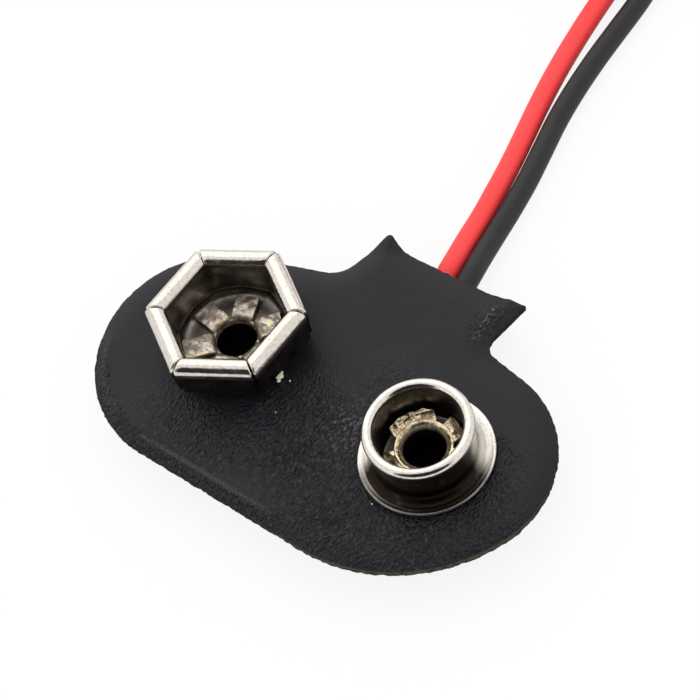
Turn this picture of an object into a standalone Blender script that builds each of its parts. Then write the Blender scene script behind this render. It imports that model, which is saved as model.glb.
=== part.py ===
"""Snap connector for a nine volt battery, with its pair of leads.

A welded two-sheet cover holds a stiff board. A hexagonal snap socket and a round snap
stud are riveted through cover and board, and a lead is soldered to each rivet's head.

Units are metres. +X runs from the socket to the stud, +Y towards the tab, +Z out of the
face. The origin lies midway between the two snaps, on the surface that the back rests on.
"""

import bmesh
import bpy
import math
import numpy as np
from mathutils import Vector
from mathutils.geometry import delaunay_2d_cdt

MM = 0.001

# Snaps: the pitch and the bead are the standard sizes of the battery's own terminals
SNAP_PITCH = 12.7 * MM
SOCKET_X = -SNAP_PITCH / 2
STUD_X = SNAP_PITCH / 2

# Clearance that seated pieces keep, so that their solids never cross
SEAT_GAP = 0.1 * MM

# Cover sheets, board and leads
SHEET_THICKNESS = 0.3 * MM
BOARD_THICKNESS = 1.1 * MM
LEAD_DIAMETER = 1.2 * MM
CONDUCTOR_DIAMETER = 0.5 * MM

# Heights of the layers, from the rest surface up
BOARD_UNDERSIDE = SHEET_THICKNESS + LEAD_DIAMETER + 2 * SEAT_GAP
BOARD_TOP = BOARD_UNDERSIDE + BOARD_THICKNESS
FACE_HEIGHT = BOARD_TOP + SEAT_GAP + SHEET_THICKNESS

# Cover outline: corner (x, y, fillet radius), anticlockwise from the lower left
TAB_CENTRE_X = 0.15 * MM
TAB_ROOT_Y = 6.54 * MM
TAB_END_Y = 9.65 * MM
COVER_LOWER_CORNERS = (
    (SOCKET_X - 7.12 * MM, -7.86 * MM, 7.14 * MM),
    (STUD_X + 3.55 * MM, -7.38 * MM, 9.22 * MM),
    (STUD_X + 8.89 * MM, 5.29 * MM, 5.93 * MM),
)
COVER_UPPER_LEFT_CORNER = (SOCKET_X - 7.40 * MM, 3.13 * MM, 6.51 * MM)
TAB_RIGHT_ROOT = (TAB_CENTRE_X + 4.50 * MM, TAB_ROOT_Y + 0.20 * MM, 0.80 * MM)
TAB_LEFT_ROOT = (TAB_CENTRE_X - 4.75 * MM, TAB_ROOT_Y - 0.20 * MM, 1.74 * MM)

# The tab's end, from its right tip to its left one, with heights above TAB_END_Y
TAB_END = (
    (TAB_CENTRE_X + 4.94 * MM, 0.36 * MM, 0.12 * MM),
    (TAB_CENTRE_X + 2.63 * MM, -0.08 * MM, 4.00 * MM),
    (TAB_CENTRE_X - 2.74 * MM, -0.41 * MM, 3.00 * MM),
    (TAB_CENTRE_X - 3.87 * MM, 0.01 * MM, 0.15 * MM),
)
TAB_TIP_CURL = 0.35 * MM
TAB_TIP_REACH = 1.4 * MM

# Board outline, clear of the cover's edge all round
BOARD_CORNERS = (
    (SOCKET_X - 5.90 * MM, -6.60 * MM, 6.00 * MM),
    (STUD_X + 2.68 * MM, -6.18 * MM, 8.20 * MM),
    (STUD_X + 7.30 * MM, 4.48 * MM, 4.93 * MM),
    (SOCKET_X - 6.13 * MM, 2.43 * MM, 5.51 * MM),
)
CREASE_MARGIN = 0.3 * MM

# How far the face falls from the board to the welded edge, and the weld's own width
EDGE_DROP = 0.5 * MM
WELD_GAP = 0.1 * MM
WELD_WIDTH = 0.35 * MM
POUCH_RUN = 1.2 * MM
MOUTH_REACH = 8.0 * MM
BEND_MARGIN = 0.2 * MM
SHEET_GRID = 1.3 * MM
EDGE_STEP = 1.0 * MM

# Rivets: a tubular eyelet with a head under the board and flared petals in the snap
BARREL_INNER_RADIUS = 1.1 * MM
EYELET_WALL = 0.2 * MM
BARREL_OUTER_RADIUS = BARREL_INNER_RADIUS + EYELET_WALL
EYELET_HEAD_RADIUS = 2.1 * MM
RIVET_HOLE_RADIUS = BARREL_OUTER_RADIUS + SEAT_GAP
SOCKET_PETALS = 6
SOCKET_PETAL_TURN = math.radians(52)
SOCKET_PETAL_WIDTH = 1.15 * MM
SOCKET_BARREL_TOP = 0.3 * MM
STUD_BARREL_TOP = 0.55 * MM
STUD_PETALS = ((102, 197), (222, 270), (283, 335), (348, 388), (400, 448))

# Socket contact: a round cup that rises into six curled leaves
SOCKET_SHEET = 0.25 * MM
SOCKET_CUP_RADIUS = 3.01 * MM
SOCKET_FLOOR_RADIUS = SOCKET_CUP_RADIUS - 0.56 * MM
SOCKET_THROAT = SOCKET_CUP_RADIUS - 0.13 * MM
LEAF_CURL_RADIUS = 0.4 * MM
LEAF_CURL_HEIGHT = 2.73 * MM
LEAF_SKIRT_HEIGHT = 0.7 * MM
LEAF_SKIRT_TUCK = 0.1 * MM
LEAF_SLIT = 0.14 * MM
LEAF_SLIT_START = 0.9 * MM
LEAVES = 6

# Stud contact: flange, neck, rolled bead and inner cup, drawn from one sheet
STUD_SHEET = 0.18 * MM
STUD_BEAD_DIAMETER = 5.72 * MM
STUD_BEAD_HEIGHT = 2.72 * MM
STUD_ROLL_RADIUS = 0.2 * MM
STUD_NECK_INSET = 0.17 * MM
STUD_FLANGE_RADIUS = 3.45 * MM
STUD_FILLET_RADIUS = 0.5 * MM
STUD_STEPS = 32

# Solder on the rivet heads
SOLDER_RADIUS = 1.5 * MM
SOLDER_HEIGHT = 0.65 * MM

# Leads: route points in millimetres, chosen by hand, from the tab's mouth to the coil
LEAD_ON_TABLE = LEAD_DIAMETER / 2
LEAD_IN_TAB = SHEET_THICKNESS + SEAT_GAP + LEAD_DIAMETER / 2
RED_ROUTE = (
    (-0.70, 9.81, 1.00), (-0.88, 10.93, 0.98), (-1.20, 12.4, 0.80), (-1.52, 14.0, 0.62),
    (-1.85, 15.6, 0.60), (-2.28, 17.6, 0.60), (-2.80, 19.6, 0.60), (-3.33, 21.6, 0.60),
    (-3.81, 23.7, 0.60), (-4.20, 25.85, 0.60), (-4.52, 28.05, 0.60), (-4.78, 30.4, 0.60),
    (-4.92, 32.4, 0.60),
)
BLACK_ROUTE = (
    (0.66, 9.91, 1.00), (0.48, 10.83, 1.00), (0.16, 12.1, 0.85), (-0.22, 13.7, 0.65),
    (-0.47, 15.2, 0.60), (-0.84, 17.2, 0.60), (-1.33, 19.2, 0.60), (-1.85, 21.3, 0.60),
    (-2.22, 23.4, 0.60), (-2.48, 25.65, 0.60), (-2.64, 27.9, 0.60), (-2.80, 30.2, 0.60),
    (-3.16, 32.6, 0.60), (-3.42, 34.4, 0.60),
)

# Coil of the rest of both leads, the black one round the red one
COIL_CENTRE = (-12.0 * MM, 39.0 * MM)
RED_COIL_RADIUS = 7.0 * MM
BLACK_COIL_RADIUS = 8.25 * MM
COIL_HEIGHT = 3.0 * MM
COIL_EDGE_ROUND = 0.5 * MM
COIL_STEPS = 40

# Free ends of the leads, beside the coil, with their stripped and tinned tips
COIL_GAP = 0.3 * MM
TAIL_RADIUS = BLACK_COIL_RADIUS + LEAD_DIAMETER + COIL_GAP
RED_TAIL_ANGLES = (174, 196)
BLACK_TAIL_ANGLES = (48, 70)
BARE_END_LENGTH = 5.0 * MM
BARE_END_DIAMETER = 0.6 * MM


def clear_scene():
    """Remove whatever the scene holds."""
    for obj in list(bpy.data.objects):
        bpy.data.objects.remove(obj, do_unlink=True)


def new_collection(name, visible=True):
    """Add a collection under the scene; a hidden one holds cutters."""
    collection = bpy.data.collections.new(name)
    bpy.context.scene.collection.children.link(collection)
    collection.hide_render = not visible
    return collection


def new_material(name, colour, roughness, metallic=0.0):
    """A plain Principled material."""
    material = bpy.data.materials.new(name)
    material.use_nodes = True
    shader = material.node_tree.nodes["Principled BSDF"]
    shader.inputs["Base Color"].default_value = (*colour, 1.0)
    shader.inputs["Roughness"].default_value = roughness
    shader.inputs["Metallic"].default_value = metallic
    material.diffuse_color = (*colour, 1.0)
    return material


def add_object(name, data, collection, material=None):
    """Link an object that holds the given data."""
    obj = bpy.data.objects.new(name, data)
    collection.objects.link(obj)
    if material is not None:
        data.materials.append(material)
    return obj


def mesh_from_bmesh(name, shape, smooth_angle=40):
    """Turn a bmesh into a mesh that shades smooth, with sharp edges kept."""
    mesh = bpy.data.meshes.new(name)
    shape.to_mesh(mesh)
    shape.free()
    mesh.shade_smooth()
    mesh.set_sharp_from_angle(angle=math.radians(smooth_angle))
    return mesh


def cut_away(obj, cutter):
    """Take the cutter's volume out of an object."""
    cutter.hide_render = True
    cutter.display_type = "WIRE"
    cut = obj.modifiers.new("cut " + cutter.name, "BOOLEAN")
    cut.operation = "DIFFERENCE"
    cut.solver = "EXACT"
    cut.object = cutter


def give_thickness(obj, thickness, offset, even=True):
    """Turn an open surface into a sheet; an uneven grid spikes where it is kept even."""
    wall = obj.modifiers.new("sheet thickness", "SOLIDIFY")
    wall.thickness = thickness
    wall.offset = offset
    wall.use_even_offset = even


def rounded_outline(corners, step):
    """Points of a closed outline whose corners are (x, y, fillet radius), anticlockwise."""
    places = np.array([corner[:2] for corner in corners])
    radii = np.array([corner[2] for corner in corners])
    to_next = np.roll(places, -1, axis=0) - places
    lengths = np.linalg.norm(to_next, axis=1)
    after = to_next / lengths[:, None]
    before = -np.roll(after, 1, axis=0)
    half_angles = np.arccos(np.clip((before * after).sum(axis=1), -1.0, 1.0)) / 2
    tangents = radii / np.tan(half_angles)
    # Neighbouring fillets that would overlap on their shared straight shrink together
    room = 0.998 * lengths / np.maximum(tangents + np.roll(tangents, -1), 1e-9)
    tangents = tangents * np.minimum(1.0, np.minimum(room, np.roll(room, 1)))
    radii = tangents * np.tan(half_angles)
    points = []
    for k, corner in enumerate(places):
        middle = (before[k] + after[k]) / np.linalg.norm(before[k] + after[k])
        centre = corner + middle * radii[k] / math.sin(half_angles[k])
        start = corner + before[k] * tangents[k] - centre
        finish = corner + after[k] * tangents[k] - centre
        first = math.atan2(start[1], start[0])
        sweep = math.atan2(finish[1], finish[0]) - first
        sweep = (sweep + math.pi) % (2 * math.pi) - math.pi
        count = max(2, round(abs(sweep) * radii[k] / step))
        for share in np.linspace(0.0, 1.0, count + 1):
            angle = first + sweep * share
            points.append(centre + radii[k] * np.array((math.cos(angle), math.sin(angle))))
    return np.array(points)


def divide_straights(points, step):
    """Add points along the long straight runs of a closed outline."""
    result = []
    for start, finish in zip(points, np.roll(points, -1, axis=0)):
        length = np.linalg.norm(finish - start)
        if length < 1e-6:
            continue
        count = max(1, round(length / step))
        result.extend(start + (finish - start) * share / count for share in range(count))
    return np.array(result)


def signed_distance(points, outline):
    """Distance of each point from a closed outline, negative inside it."""
    start = outline
    along = np.roll(outline, -1, axis=0) - start
    offset = points[:, None, :] - start[None]
    share = np.clip((offset * along).sum(2) / (along * along).sum(1), 0.0, 1.0)
    nearest = np.linalg.norm(offset - share[..., None] * along, axis=2).min(axis=1)
    above = points[:, None, 1] < start[None, :, 1]
    crossing = above != (points[:, None, 1] < (start + along)[None, :, 1])
    rise = np.where(along[:, 1] == 0, 1.0, along[:, 1])
    meets = start[:, 0] + (points[:, None, 1] - start[:, 1]) * along[:, 0] / rise
    inside = (crossing & (points[:, None, 0] < meets)).sum(axis=1) % 2 == 1
    return np.where(inside, -nearest, nearest)


def cover_corners(tab_end):
    """The cover's corners, with the tab ending at the given place on the plan."""
    return (
        *COVER_LOWER_CORNERS,
        TAB_RIGHT_ROOT,
        *((x, tab_end + rise, fillet) for x, rise, fillet in TAB_END),
        TAB_LEFT_ROOT,
        COVER_UPPER_LEFT_CORNER,
    )


COVER_OUTLINE = divide_straights(rounded_outline(cover_corners(TAB_END_Y), EDGE_STEP), EDGE_STEP)
POUCH_OUTLINE = rounded_outline(cover_corners(TAB_END_Y + MOUTH_REACH), EDGE_STEP)
BOARD_OUTLINE = rounded_outline(BOARD_CORNERS, EDGE_STEP)


def ease(share):
    """Rise from 0 to 1 with level ends."""
    share = np.clip(share, 0.0, 1.0)
    return share * share * (3.0 - 2.0 * share)


def tip_curl(points):
    """How far the tab's two free tips curl up."""
    lift = np.zeros(len(points))
    for x, rise, _ in (TAB_END[0], TAB_END[-1]):
        reach = np.linalg.norm(points - np.array((x, TAB_END_Y + rise)), axis=1) / TAB_TIP_REACH
        lift = lift + TAB_TIP_CURL * np.clip(1.0 - reach, 0.0, 1.0) ** 2
    return lift


def face_surface(points):
    """Height of the face: level over the board, falling from its crease to the edge."""
    past_board = np.maximum(signed_distance(points, BOARD_OUTLINE) - CREASE_MARGIN, 0.0)
    from_edge = np.maximum(-signed_distance(points, COVER_OUTLINE), 0.0)
    share = past_board / np.maximum(past_board + from_edge, 1e-9)
    fall = EDGE_DROP * np.sin(share * math.pi / 2) ** 1.2
    return FACE_HEIGHT - fall + tip_curl(points)


def back_surface(points):
    """Height of the back's underside: a pouch that rises to the welded edge."""
    edge_under = FACE_HEIGHT - EDGE_DROP - 2 * SHEET_THICKNESS - WELD_GAP
    from_edge = -signed_distance(points, POUCH_OUTLINE)
    share = ease((from_edge - WELD_WIDTH) / POUCH_RUN)
    return edge_under * (1.0 - share) + tip_curl(points)


def line_inside(outline, distance):
    """A closed line that keeps the given distance inside an outline; negative is outside."""
    ahead = np.roll(outline, -1, axis=0) - np.roll(outline, 1, axis=0)
    inward = np.stack((-ahead[:, 1], ahead[:, 0]), axis=1)
    line = outline + distance * inward / np.linalg.norm(inward, axis=1)[:, None]
    kept = -signed_distance(line, outline) > distance - 0.05 * abs(distance)
    return divide_straights(line[kept], EDGE_STEP)


def formed_sheet(name, surface, guides, thickness_side, collection, material):
    """A cover sheet: outline and bend lines filled with triangles and set to height."""
    low = COVER_OUTLINE.min(axis=0)
    high = COVER_OUTLINE.max(axis=0)
    columns = np.arange(low[0], high[0], SHEET_GRID)
    rows = np.arange(low[1], high[1], SHEET_GRID)
    grid = np.stack(np.meshgrid(columns, rows), axis=-1).reshape(-1, 2)
    grid = grid[signed_distance(grid, COVER_OUTLINE) < -0.45 * SHEET_GRID]
    points = [COVER_OUTLINE]
    bends = []
    for guide in guides:
        within = signed_distance(guide, COVER_OUTLINE) < -BEND_MARGIN
        guide = divide_straights(guide[within], EDGE_STEP)
        grid = grid[np.abs(signed_distance(grid, guide)) > 0.4 * SHEET_GRID]
        first = sum(len(group) for group in points)
        bends.extend((first + k, first + (k + 1) % len(guide)) for k in range(len(guide)))
        points.append(guide)
    points = np.concatenate((*points, grid))
    scaled = [Vector(point / MM) for point in points]
    border = [list(range(len(COVER_OUTLINE)))]
    flat = delaunay_2d_cdt(scaled, bends, border, 1, 1e-5)
    plan = np.array([tuple(point) for point in flat[0]]) * MM
    height = surface(plan)
    shape = bmesh.new()
    vertices = [shape.verts.new((x, y, z)) for (x, y), z in zip(plan, height)]
    for face in flat[2]:
        shape.faces.new([vertices[k] for k in face])
    loose = [vertex for vertex in shape.verts if not vertex.link_faces]
    bmesh.ops.delete(shape, geom=loose, context="VERTS")
    bmesh.ops.recalc_face_normals(shape, faces=shape.faces)
    shape.normal_update()
    if sum(face.normal.z for face in shape.faces) < 0:
        bmesh.ops.reverse_faces(shape, faces=shape.faces)
    obj = add_object(name, mesh_from_bmesh(name, shape), collection, material)
    give_thickness(obj, SHEET_THICKNESS, thickness_side, even=False)
    return obj


def cylinder_cutter(name, x, radius, low, high, collection):
    """A vertical cylinder to cut with."""
    shape = bmesh.new()
    bmesh.ops.create_cone(shape, cap_ends=True, segments=32, radius1=radius,
                          radius2=radius, depth=high - low)
    mesh = mesh_from_bmesh(name, shape)
    obj = add_object(name, mesh, collection)
    obj.location = (x, 0.0, (low + high) / 2)
    return obj


def flat_plate(name, outline, low, high, collection, material):
    """A flat plate of the given outline, as a filled curve with an extrude."""
    curve = bpy.data.curves.new(name, "CURVE")
    curve.dimensions = "2D"
    curve.fill_mode = "BOTH"
    curve.extrude = (high - low) / 2
    spline = curve.splines.new("POLY")
    spline.points.add(len(outline) - 1)
    for point, (x, y) in zip(spline.points, outline):
        point.co = (x, y, 0.0, 1.0)
    spline.use_cyclic_u = True
    guide = add_object(name + "_outline", curve, collection)
    guide.location = (0.0, 0.0, (low + high) / 2)
    bpy.context.view_layer.update()
    evaluated = guide.evaluated_get(bpy.context.evaluated_depsgraph_get())
    mesh = bpy.data.meshes.new_from_object(evaluated)
    shape = bmesh.new()
    shape.from_mesh(mesh)
    bpy.data.meshes.remove(mesh)
    bmesh.ops.remove_doubles(shape, verts=shape.verts, dist=0.000001)
    bmesh.ops.recalc_face_normals(shape, faces=shape.faces)
    obj = add_object(name, mesh_from_bmesh(name, shape), collection, material)
    obj.location = guide.location
    bpy.data.objects.remove(guide, do_unlink=True)
    return obj


def surface_grid(name, rows, collection, material, skip=()):
    """A closed band of quads from rows of points, each row going once round."""
    shape = bmesh.new()
    built = [[shape.verts.new(point) for point in row] for row in rows]
    around = len(rows[0])
    for level in range(len(rows) - 1):
        for k in range(around):
            if (level, k) in skip:
                continue
            after = (k + 1) % around
            shape.faces.new((built[level][k], built[level][after],
                             built[level + 1][after], built[level + 1][k]))
    loose = [vertex for vertex in shape.verts if not vertex.link_faces]
    bmesh.ops.delete(shape, geom=loose, context="VERTS")
    bmesh.ops.recalc_face_normals(shape, faces=shape.faces)
    return add_object(name, mesh_from_bmesh(name, shape), collection, material)


def arc_points(centre, radius, first, last, steps):
    """Points (radius, height) along an arc; angles in degrees."""
    angles = np.radians(np.linspace(first, last, steps + 1))
    return [(centre[0] + radius * math.cos(a), centre[1] + radius * math.sin(a)) for a in angles]


def socket_profile():
    """The leaf's path (radius, height, how hexagonal), from the rivet hole to the skirt."""
    floor = SEAT_GAP + SOCKET_SHEET / 2
    curl_centre = SOCKET_THROAT + LEAF_CURL_RADIUS
    skirt = curl_centre + LEAF_CURL_RADIUS - LEAF_SKIRT_TUCK
    path = [
        (RIVET_HOLE_RADIUS, floor, 0.0),
        (SOCKET_FLOOR_RADIUS, floor, 0.0),
        (SOCKET_FLOOR_RADIUS + 0.3 * MM, floor + 0.1 * MM, 0.0),
        (SOCKET_CUP_RADIUS - 0.04 * MM, floor + 0.35 * MM, 0.1),
        (SOCKET_CUP_RADIUS, LEAF_SLIT_START + 0.1 * MM, 0.3),
        (SOCKET_CUP_RADIUS - 0.02 * MM, LEAF_CURL_HEIGHT * 0.55, 0.7),
        (SOCKET_THROAT + 0.03 * MM, LEAF_CURL_HEIGHT * 0.75, 1.0),
    ]
    curl = arc_points((curl_centre, LEAF_CURL_HEIGHT), LEAF_CURL_RADIUS, 180, 0, 8)
    path.extend((radius, height, 1.0) for radius, height in curl)
    path.extend((
        (skirt + LEAF_SKIRT_TUCK / 2, LEAF_CURL_HEIGHT - 0.5 * MM, 1.0),
        (skirt, LEAF_SKIRT_HEIGHT, 1.0),
    ))
    return path


def make_socket_contact(collection, cutters, material):
    """Six curled leaves on a round cup: a loft from round to hexagonal, slit at the corners."""
    columns_per_leaf = 4
    columns = LEAVES * columns_per_leaf
    leaf_angle = 2 * math.pi / LEAVES
    rows = []
    for radius, height, hexagonal in socket_profile():
        row = []
        for k in range(columns):
            angle = 2 * math.pi * k / columns
            from_middle = (angle + leaf_angle / 2) % leaf_angle - leaf_angle / 2
            reach = radius * ((1.0 - hexagonal) + hexagonal / math.cos(from_middle))
            row.append((SOCKET_X + reach * math.cos(angle), reach * math.sin(angle),
                        FACE_HEIGHT + height))
        rows.append(row)
    contact = surface_grid("socket_contact", rows, collection, material)
    give_thickness(contact, SOCKET_SHEET, 0.0)

    inner = 1.6 * MM
    wall = SOCKET_CUP_RADIUS / math.cos(leaf_angle / 2) + SOCKET_SHEET / 2 + 0.04 * MM
    outer = SOCKET_THROAT + 3.5 * MM
    step_height = FACE_HEIGHT + LEAF_SLIT_START
    low = FACE_HEIGHT - 0.5 * MM
    high = FACE_HEIGHT + LEAF_CURL_HEIGHT + 1.5 * MM
    profile = ((inner, step_height), (wall, step_height), (wall, low), (outer, low),
               (outer, high), (inner, high))
    shape = bmesh.new()
    for leaf in range(LEAVES):
        angle = leaf_angle * (leaf + 0.5)
        along = Vector((math.cos(angle), math.sin(angle), 0.0))
        across = Vector((-math.sin(angle), math.cos(angle), 0.0)) * LEAF_SLIT
        start = Vector((SOCKET_X, 0.0, 0.0)) - across / 2
        corners = [shape.verts.new(start + along * r + Vector((0.0, 0.0, z)))
                   for r, z in profile]
        plate = shape.faces.new(corners)
        grown = bmesh.ops.extrude_face_region(shape, geom=[plate])
        moved = [item for item in grown["geom"] if isinstance(item, bmesh.types.BMVert)]
        bmesh.ops.translate(shape, verts=moved, vec=across)
    bmesh.ops.recalc_face_normals(shape, faces=shape.faces)
    cut_away(contact, add_object("leaf_slits", mesh_from_bmesh("leaf_slits", shape), cutters))
    return contact


def stud_profile():
    """The drawn sheet's middle line (radius, height), from the rivet hole to the flange."""
    half = STUD_SHEET / 2
    floor = SEAT_GAP + half
    roll_centre = STUD_BEAD_DIAMETER / 2 - half - STUD_ROLL_RADIUS
    inner_wall = roll_centre - STUD_ROLL_RADIUS
    neck = roll_centre + STUD_ROLL_RADIUS - STUD_NECK_INSET
    path = [(RIVET_HOLE_RADIUS, floor)]
    path.extend(arc_points((inner_wall - 0.3 * MM, floor + 0.3 * MM), 0.3 * MM, -90, 0, 3))
    path.extend(arc_points((roll_centre, STUD_BEAD_HEIGHT), STUD_ROLL_RADIUS, 180, -25, 8))
    path.append((neck + 0.03 * MM, STUD_BEAD_HEIGHT - 0.28 * MM))
    path.append((neck, STUD_BEAD_HEIGHT - 0.5 * MM))
    fillet_centre = (neck + STUD_FILLET_RADIUS, floor + STUD_FILLET_RADIUS)
    path.extend(arc_points(fillet_centre, STUD_FILLET_RADIUS, 180, 270, 4))
    path.append((STUD_FLANGE_RADIUS - 0.12 * MM, floor + 0.01 * MM))
    path.append((STUD_FLANGE_RADIUS, floor + 0.05 * MM))
    return path


def make_stud_contact(collection, material):
    """The stud: a profile turned about its axis and given the sheet's thickness."""
    profile = [Vector((radius, 0.0, height)) for radius, height in stud_profile()]
    mesh = bpy.data.meshes.new("stud_contact")
    edges = [(k, k + 1) for k in range(len(profile) - 1)]
    mesh.from_pydata(profile, edges, [])
    obj = add_object("stud_contact", mesh, collection, material)
    obj.location = (STUD_X, 0.0, FACE_HEIGHT)
    turn = obj.modifiers.new("turn", "SCREW")
    turn.steps = STUD_STEPS
    turn.render_steps = STUD_STEPS
    turn.use_merge_vertices = True
    turn.merge_threshold = 0.00001
    turn.use_smooth_shade = True
    give_thickness(obj, STUD_SHEET, 0.0)
    return obj


def barrel_rows(x, angles, top):
    """Rows of an eyelet from its head's rim up to its barrel's top above the face."""
    middle = BARREL_INNER_RADIUS + EYELET_WALL / 2
    head = BOARD_UNDERSIDE - SEAT_GAP - EYELET_WALL / 2
    levels = (
        (EYELET_HEAD_RADIUS, head),
        (middle + 0.15 * MM, head),
        (middle + 0.04 * MM, head + 0.04 * MM),
        (middle, head + 0.15 * MM),
        (middle, FACE_HEIGHT + top),
    )
    return [[(x + radius * math.cos(a), radius * math.sin(a), height) for a in angles]
            for radius, height in levels]


def make_socket_eyelet(collection, material):
    """Eyelet whose barrel is split into six flat tabs of even width, bent outwards."""
    columns = (-0.5, 0.0, 0.5)
    middle = BARREL_INNER_RADIUS + EYELET_WALL / 2
    pitch = 2 * math.pi / SOCKET_PETALS
    angles = []
    for petal in range(SOCKET_PETALS):
        turn = SOCKET_PETAL_TURN + pitch * petal
        angles.extend(turn + pitch * 0.94 * share for share in columns)
    rows = barrel_rows(SOCKET_X, angles, SOCKET_BARREL_TOP)
    flare = ((0.03, 0.43), (0.12, 0.52), (0.28, 0.56), (0.75, 0.57), (1.34, 0.60))
    for reach, height in flare:
        row = []
        for petal in range(SOCKET_PETALS):
            turn = SOCKET_PETAL_TURN + pitch * petal
            for share in columns:
                out = middle * math.cos(pitch * 0.94 * share) + reach * MM
                side = SOCKET_PETAL_WIDTH * share
                row.append((SOCKET_X + out * math.cos(turn) - side * math.sin(turn),
                            out * math.sin(turn) + side * math.cos(turn),
                            FACE_HEIGHT + height * MM))
        rows.append(row)
    split_from = len(rows) - len(flare) - 1
    last = len(columns) - 1
    skip = {(level, len(columns) * petal + last)
            for level in range(split_from, len(rows) - 1) for petal in range(SOCKET_PETALS)}
    eyelet = surface_grid("socket_eyelet", rows, collection, material, skip)
    give_thickness(eyelet, EYELET_WALL, 0.0)
    return eyelet


def make_stud_eyelet(collection, material):
    """Eyelet whose barrel has split unevenly into petals that flare up like a flower."""
    middle = BARREL_INNER_RADIUS + EYELET_WALL / 2
    columns_per_petal = 4
    angles = []
    for first, last in STUD_PETALS:
        angles.extend(np.radians(np.linspace(first, last, columns_per_petal)))
    rows = barrel_rows(STUD_X, angles, STUD_BARREL_TOP)
    flare = ((0.03, 0.76), (0.14, 0.90), (0.34, 1.00), (0.58, 1.10), (0.78, 1.24))
    for reach, height in flare:
        radius = middle + reach * MM
        rows.append([(STUD_X + radius * math.cos(a), radius * math.sin(a),
                      FACE_HEIGHT + height * MM) for a in angles])
    split_from = len(rows) - len(flare) - 1
    last_column = columns_per_petal - 1
    skip = {(level, columns_per_petal * petal + last_column)
            for level in range(split_from, len(rows) - 1) for petal in range(len(STUD_PETALS))}
    eyelet = surface_grid("stud_eyelet", rows, collection, material, skip)
    give_thickness(eyelet, EYELET_WALL, 0.0)
    return eyelet


def make_solder(name, x, collection, material):
    """A flattened dome of solder on a rivet's head, facing the back sheet."""
    top = BOARD_UNDERSIDE - 2 * SEAT_GAP - EYELET_WALL
    shape = bmesh.new()
    bmesh.ops.create_uvsphere(shape, u_segments=20, v_segments=10, radius=SOLDER_RADIUS)
    lower = [vertex for vertex in shape.verts if vertex.co.z > 1e-7]
    bmesh.ops.delete(shape, geom=lower, context="VERTS")
    rim = [edge for edge in shape.edges if edge.is_boundary]
    bmesh.ops.contextual_create(shape, geom=rim)
    for vertex in shape.verts:
        vertex.co.z *= SOLDER_HEIGHT / SOLDER_RADIUS
    bmesh.ops.recalc_face_normals(shape, faces=shape.faces)
    obj = add_object(name, mesh_from_bmesh(name, shape), collection, material)
    obj.location = (x, 0.0, top)
    return obj


def smooth_route(route, spacing):
    """Evenly spaced points on a smooth curve through the route's own points."""
    points = np.array(route, dtype=float)
    ends = np.concatenate((2 * points[:1] - points[1:2], points, 2 * points[-1:] - points[-2:-1]))
    dense = []
    for k in range(len(points) - 1):
        a, b, c, d = ends[k:k + 4]
        for t in np.linspace(0.0, 1.0, 12, endpoint=False):
            dense.append(0.5 * (2 * b + (c - a) * t + (2 * a - 5 * b + 4 * c - d) * t ** 2
                                + (3 * b - a - 3 * c + d) * t ** 3))
    dense.append(points[-1])
    dense = np.array(dense)
    travelled = np.concatenate(((0.0,), np.cumsum(np.linalg.norm(np.diff(dense, axis=0), axis=1))))
    count = max(2, round(travelled[-1] / spacing) + 1)
    wanted = np.linspace(0.0, travelled[-1], count)
    spaced = np.stack([np.interp(wanted, travelled, dense[:, axis]) for axis in range(3)], axis=1)
    spaced[:, 2] = np.maximum(spaced[:, 2], LEAD_ON_TABLE)
    return spaced


def make_tube(name, points, diameter, collection, material):
    """A round wire along the given points, with filled ends."""
    curve = bpy.data.curves.new(name, "CURVE")
    curve.dimensions = "3D"
    curve.bevel_depth = diameter / 2
    curve.bevel_resolution = 2
    curve.use_fill_caps = True
    spline = curve.splines.new("POLY")
    spline.points.add(len(points) - 1)
    for point, place in zip(spline.points, points):
        point.co = (*place, 1.0)
    return add_object(name, curve, collection, material)


def inner_lead_route(snap_x, mouth_x, mouth_y):
    """From just beside a solder joint, round the pocket and out to the tab's mouth."""
    side = math.copysign(1.0, snap_x)
    height = SHEET_THICKNESS + SEAT_GAP + LEAD_DIAMETER / 2
    return (
        (snap_x - side * (SOLDER_RADIUS + 1.0 * MM), 0.4 * MM, height),
        (snap_x - side * (SOLDER_RADIUS + 2.6 * MM), 1.4 * MM, height),
        (mouth_x + side * 0.5 * MM, 4.4 * MM, height),
        (mouth_x + side * 0.05 * MM, 7.0 * MM, height - 0.02 * MM),
        (mouth_x, mouth_y - 0.3 * MM, LEAD_IN_TAB),
    )


def make_inner_wiring(name, snap_x, mouth, collection, insulation, metal):
    """The insulated inner end of a lead and its bare conductor."""
    route = inner_lead_route(snap_x, mouth[0] * MM, mouth[1] * MM)
    spacing = 2.5 * LEAD_DIAMETER
    make_tube(name + "_lead_inner", smooth_route(route, spacing), LEAD_DIAMETER,
              collection, insulation)
    side = math.copysign(1.0, snap_x)
    start = np.array(route[0])
    away = start - np.array(route[1])
    away = away / np.linalg.norm(away)
    first = start + away * SEAT_GAP
    length = abs(snap_x - start[0]) - SOLDER_RADIUS - 2 * SEAT_GAP
    last = first + np.array((side, 0.0, 0.0)) * length
    make_tube(name + "_conductor", (first, last), CONDUCTOR_DIAMETER, collection, metal)


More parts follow.
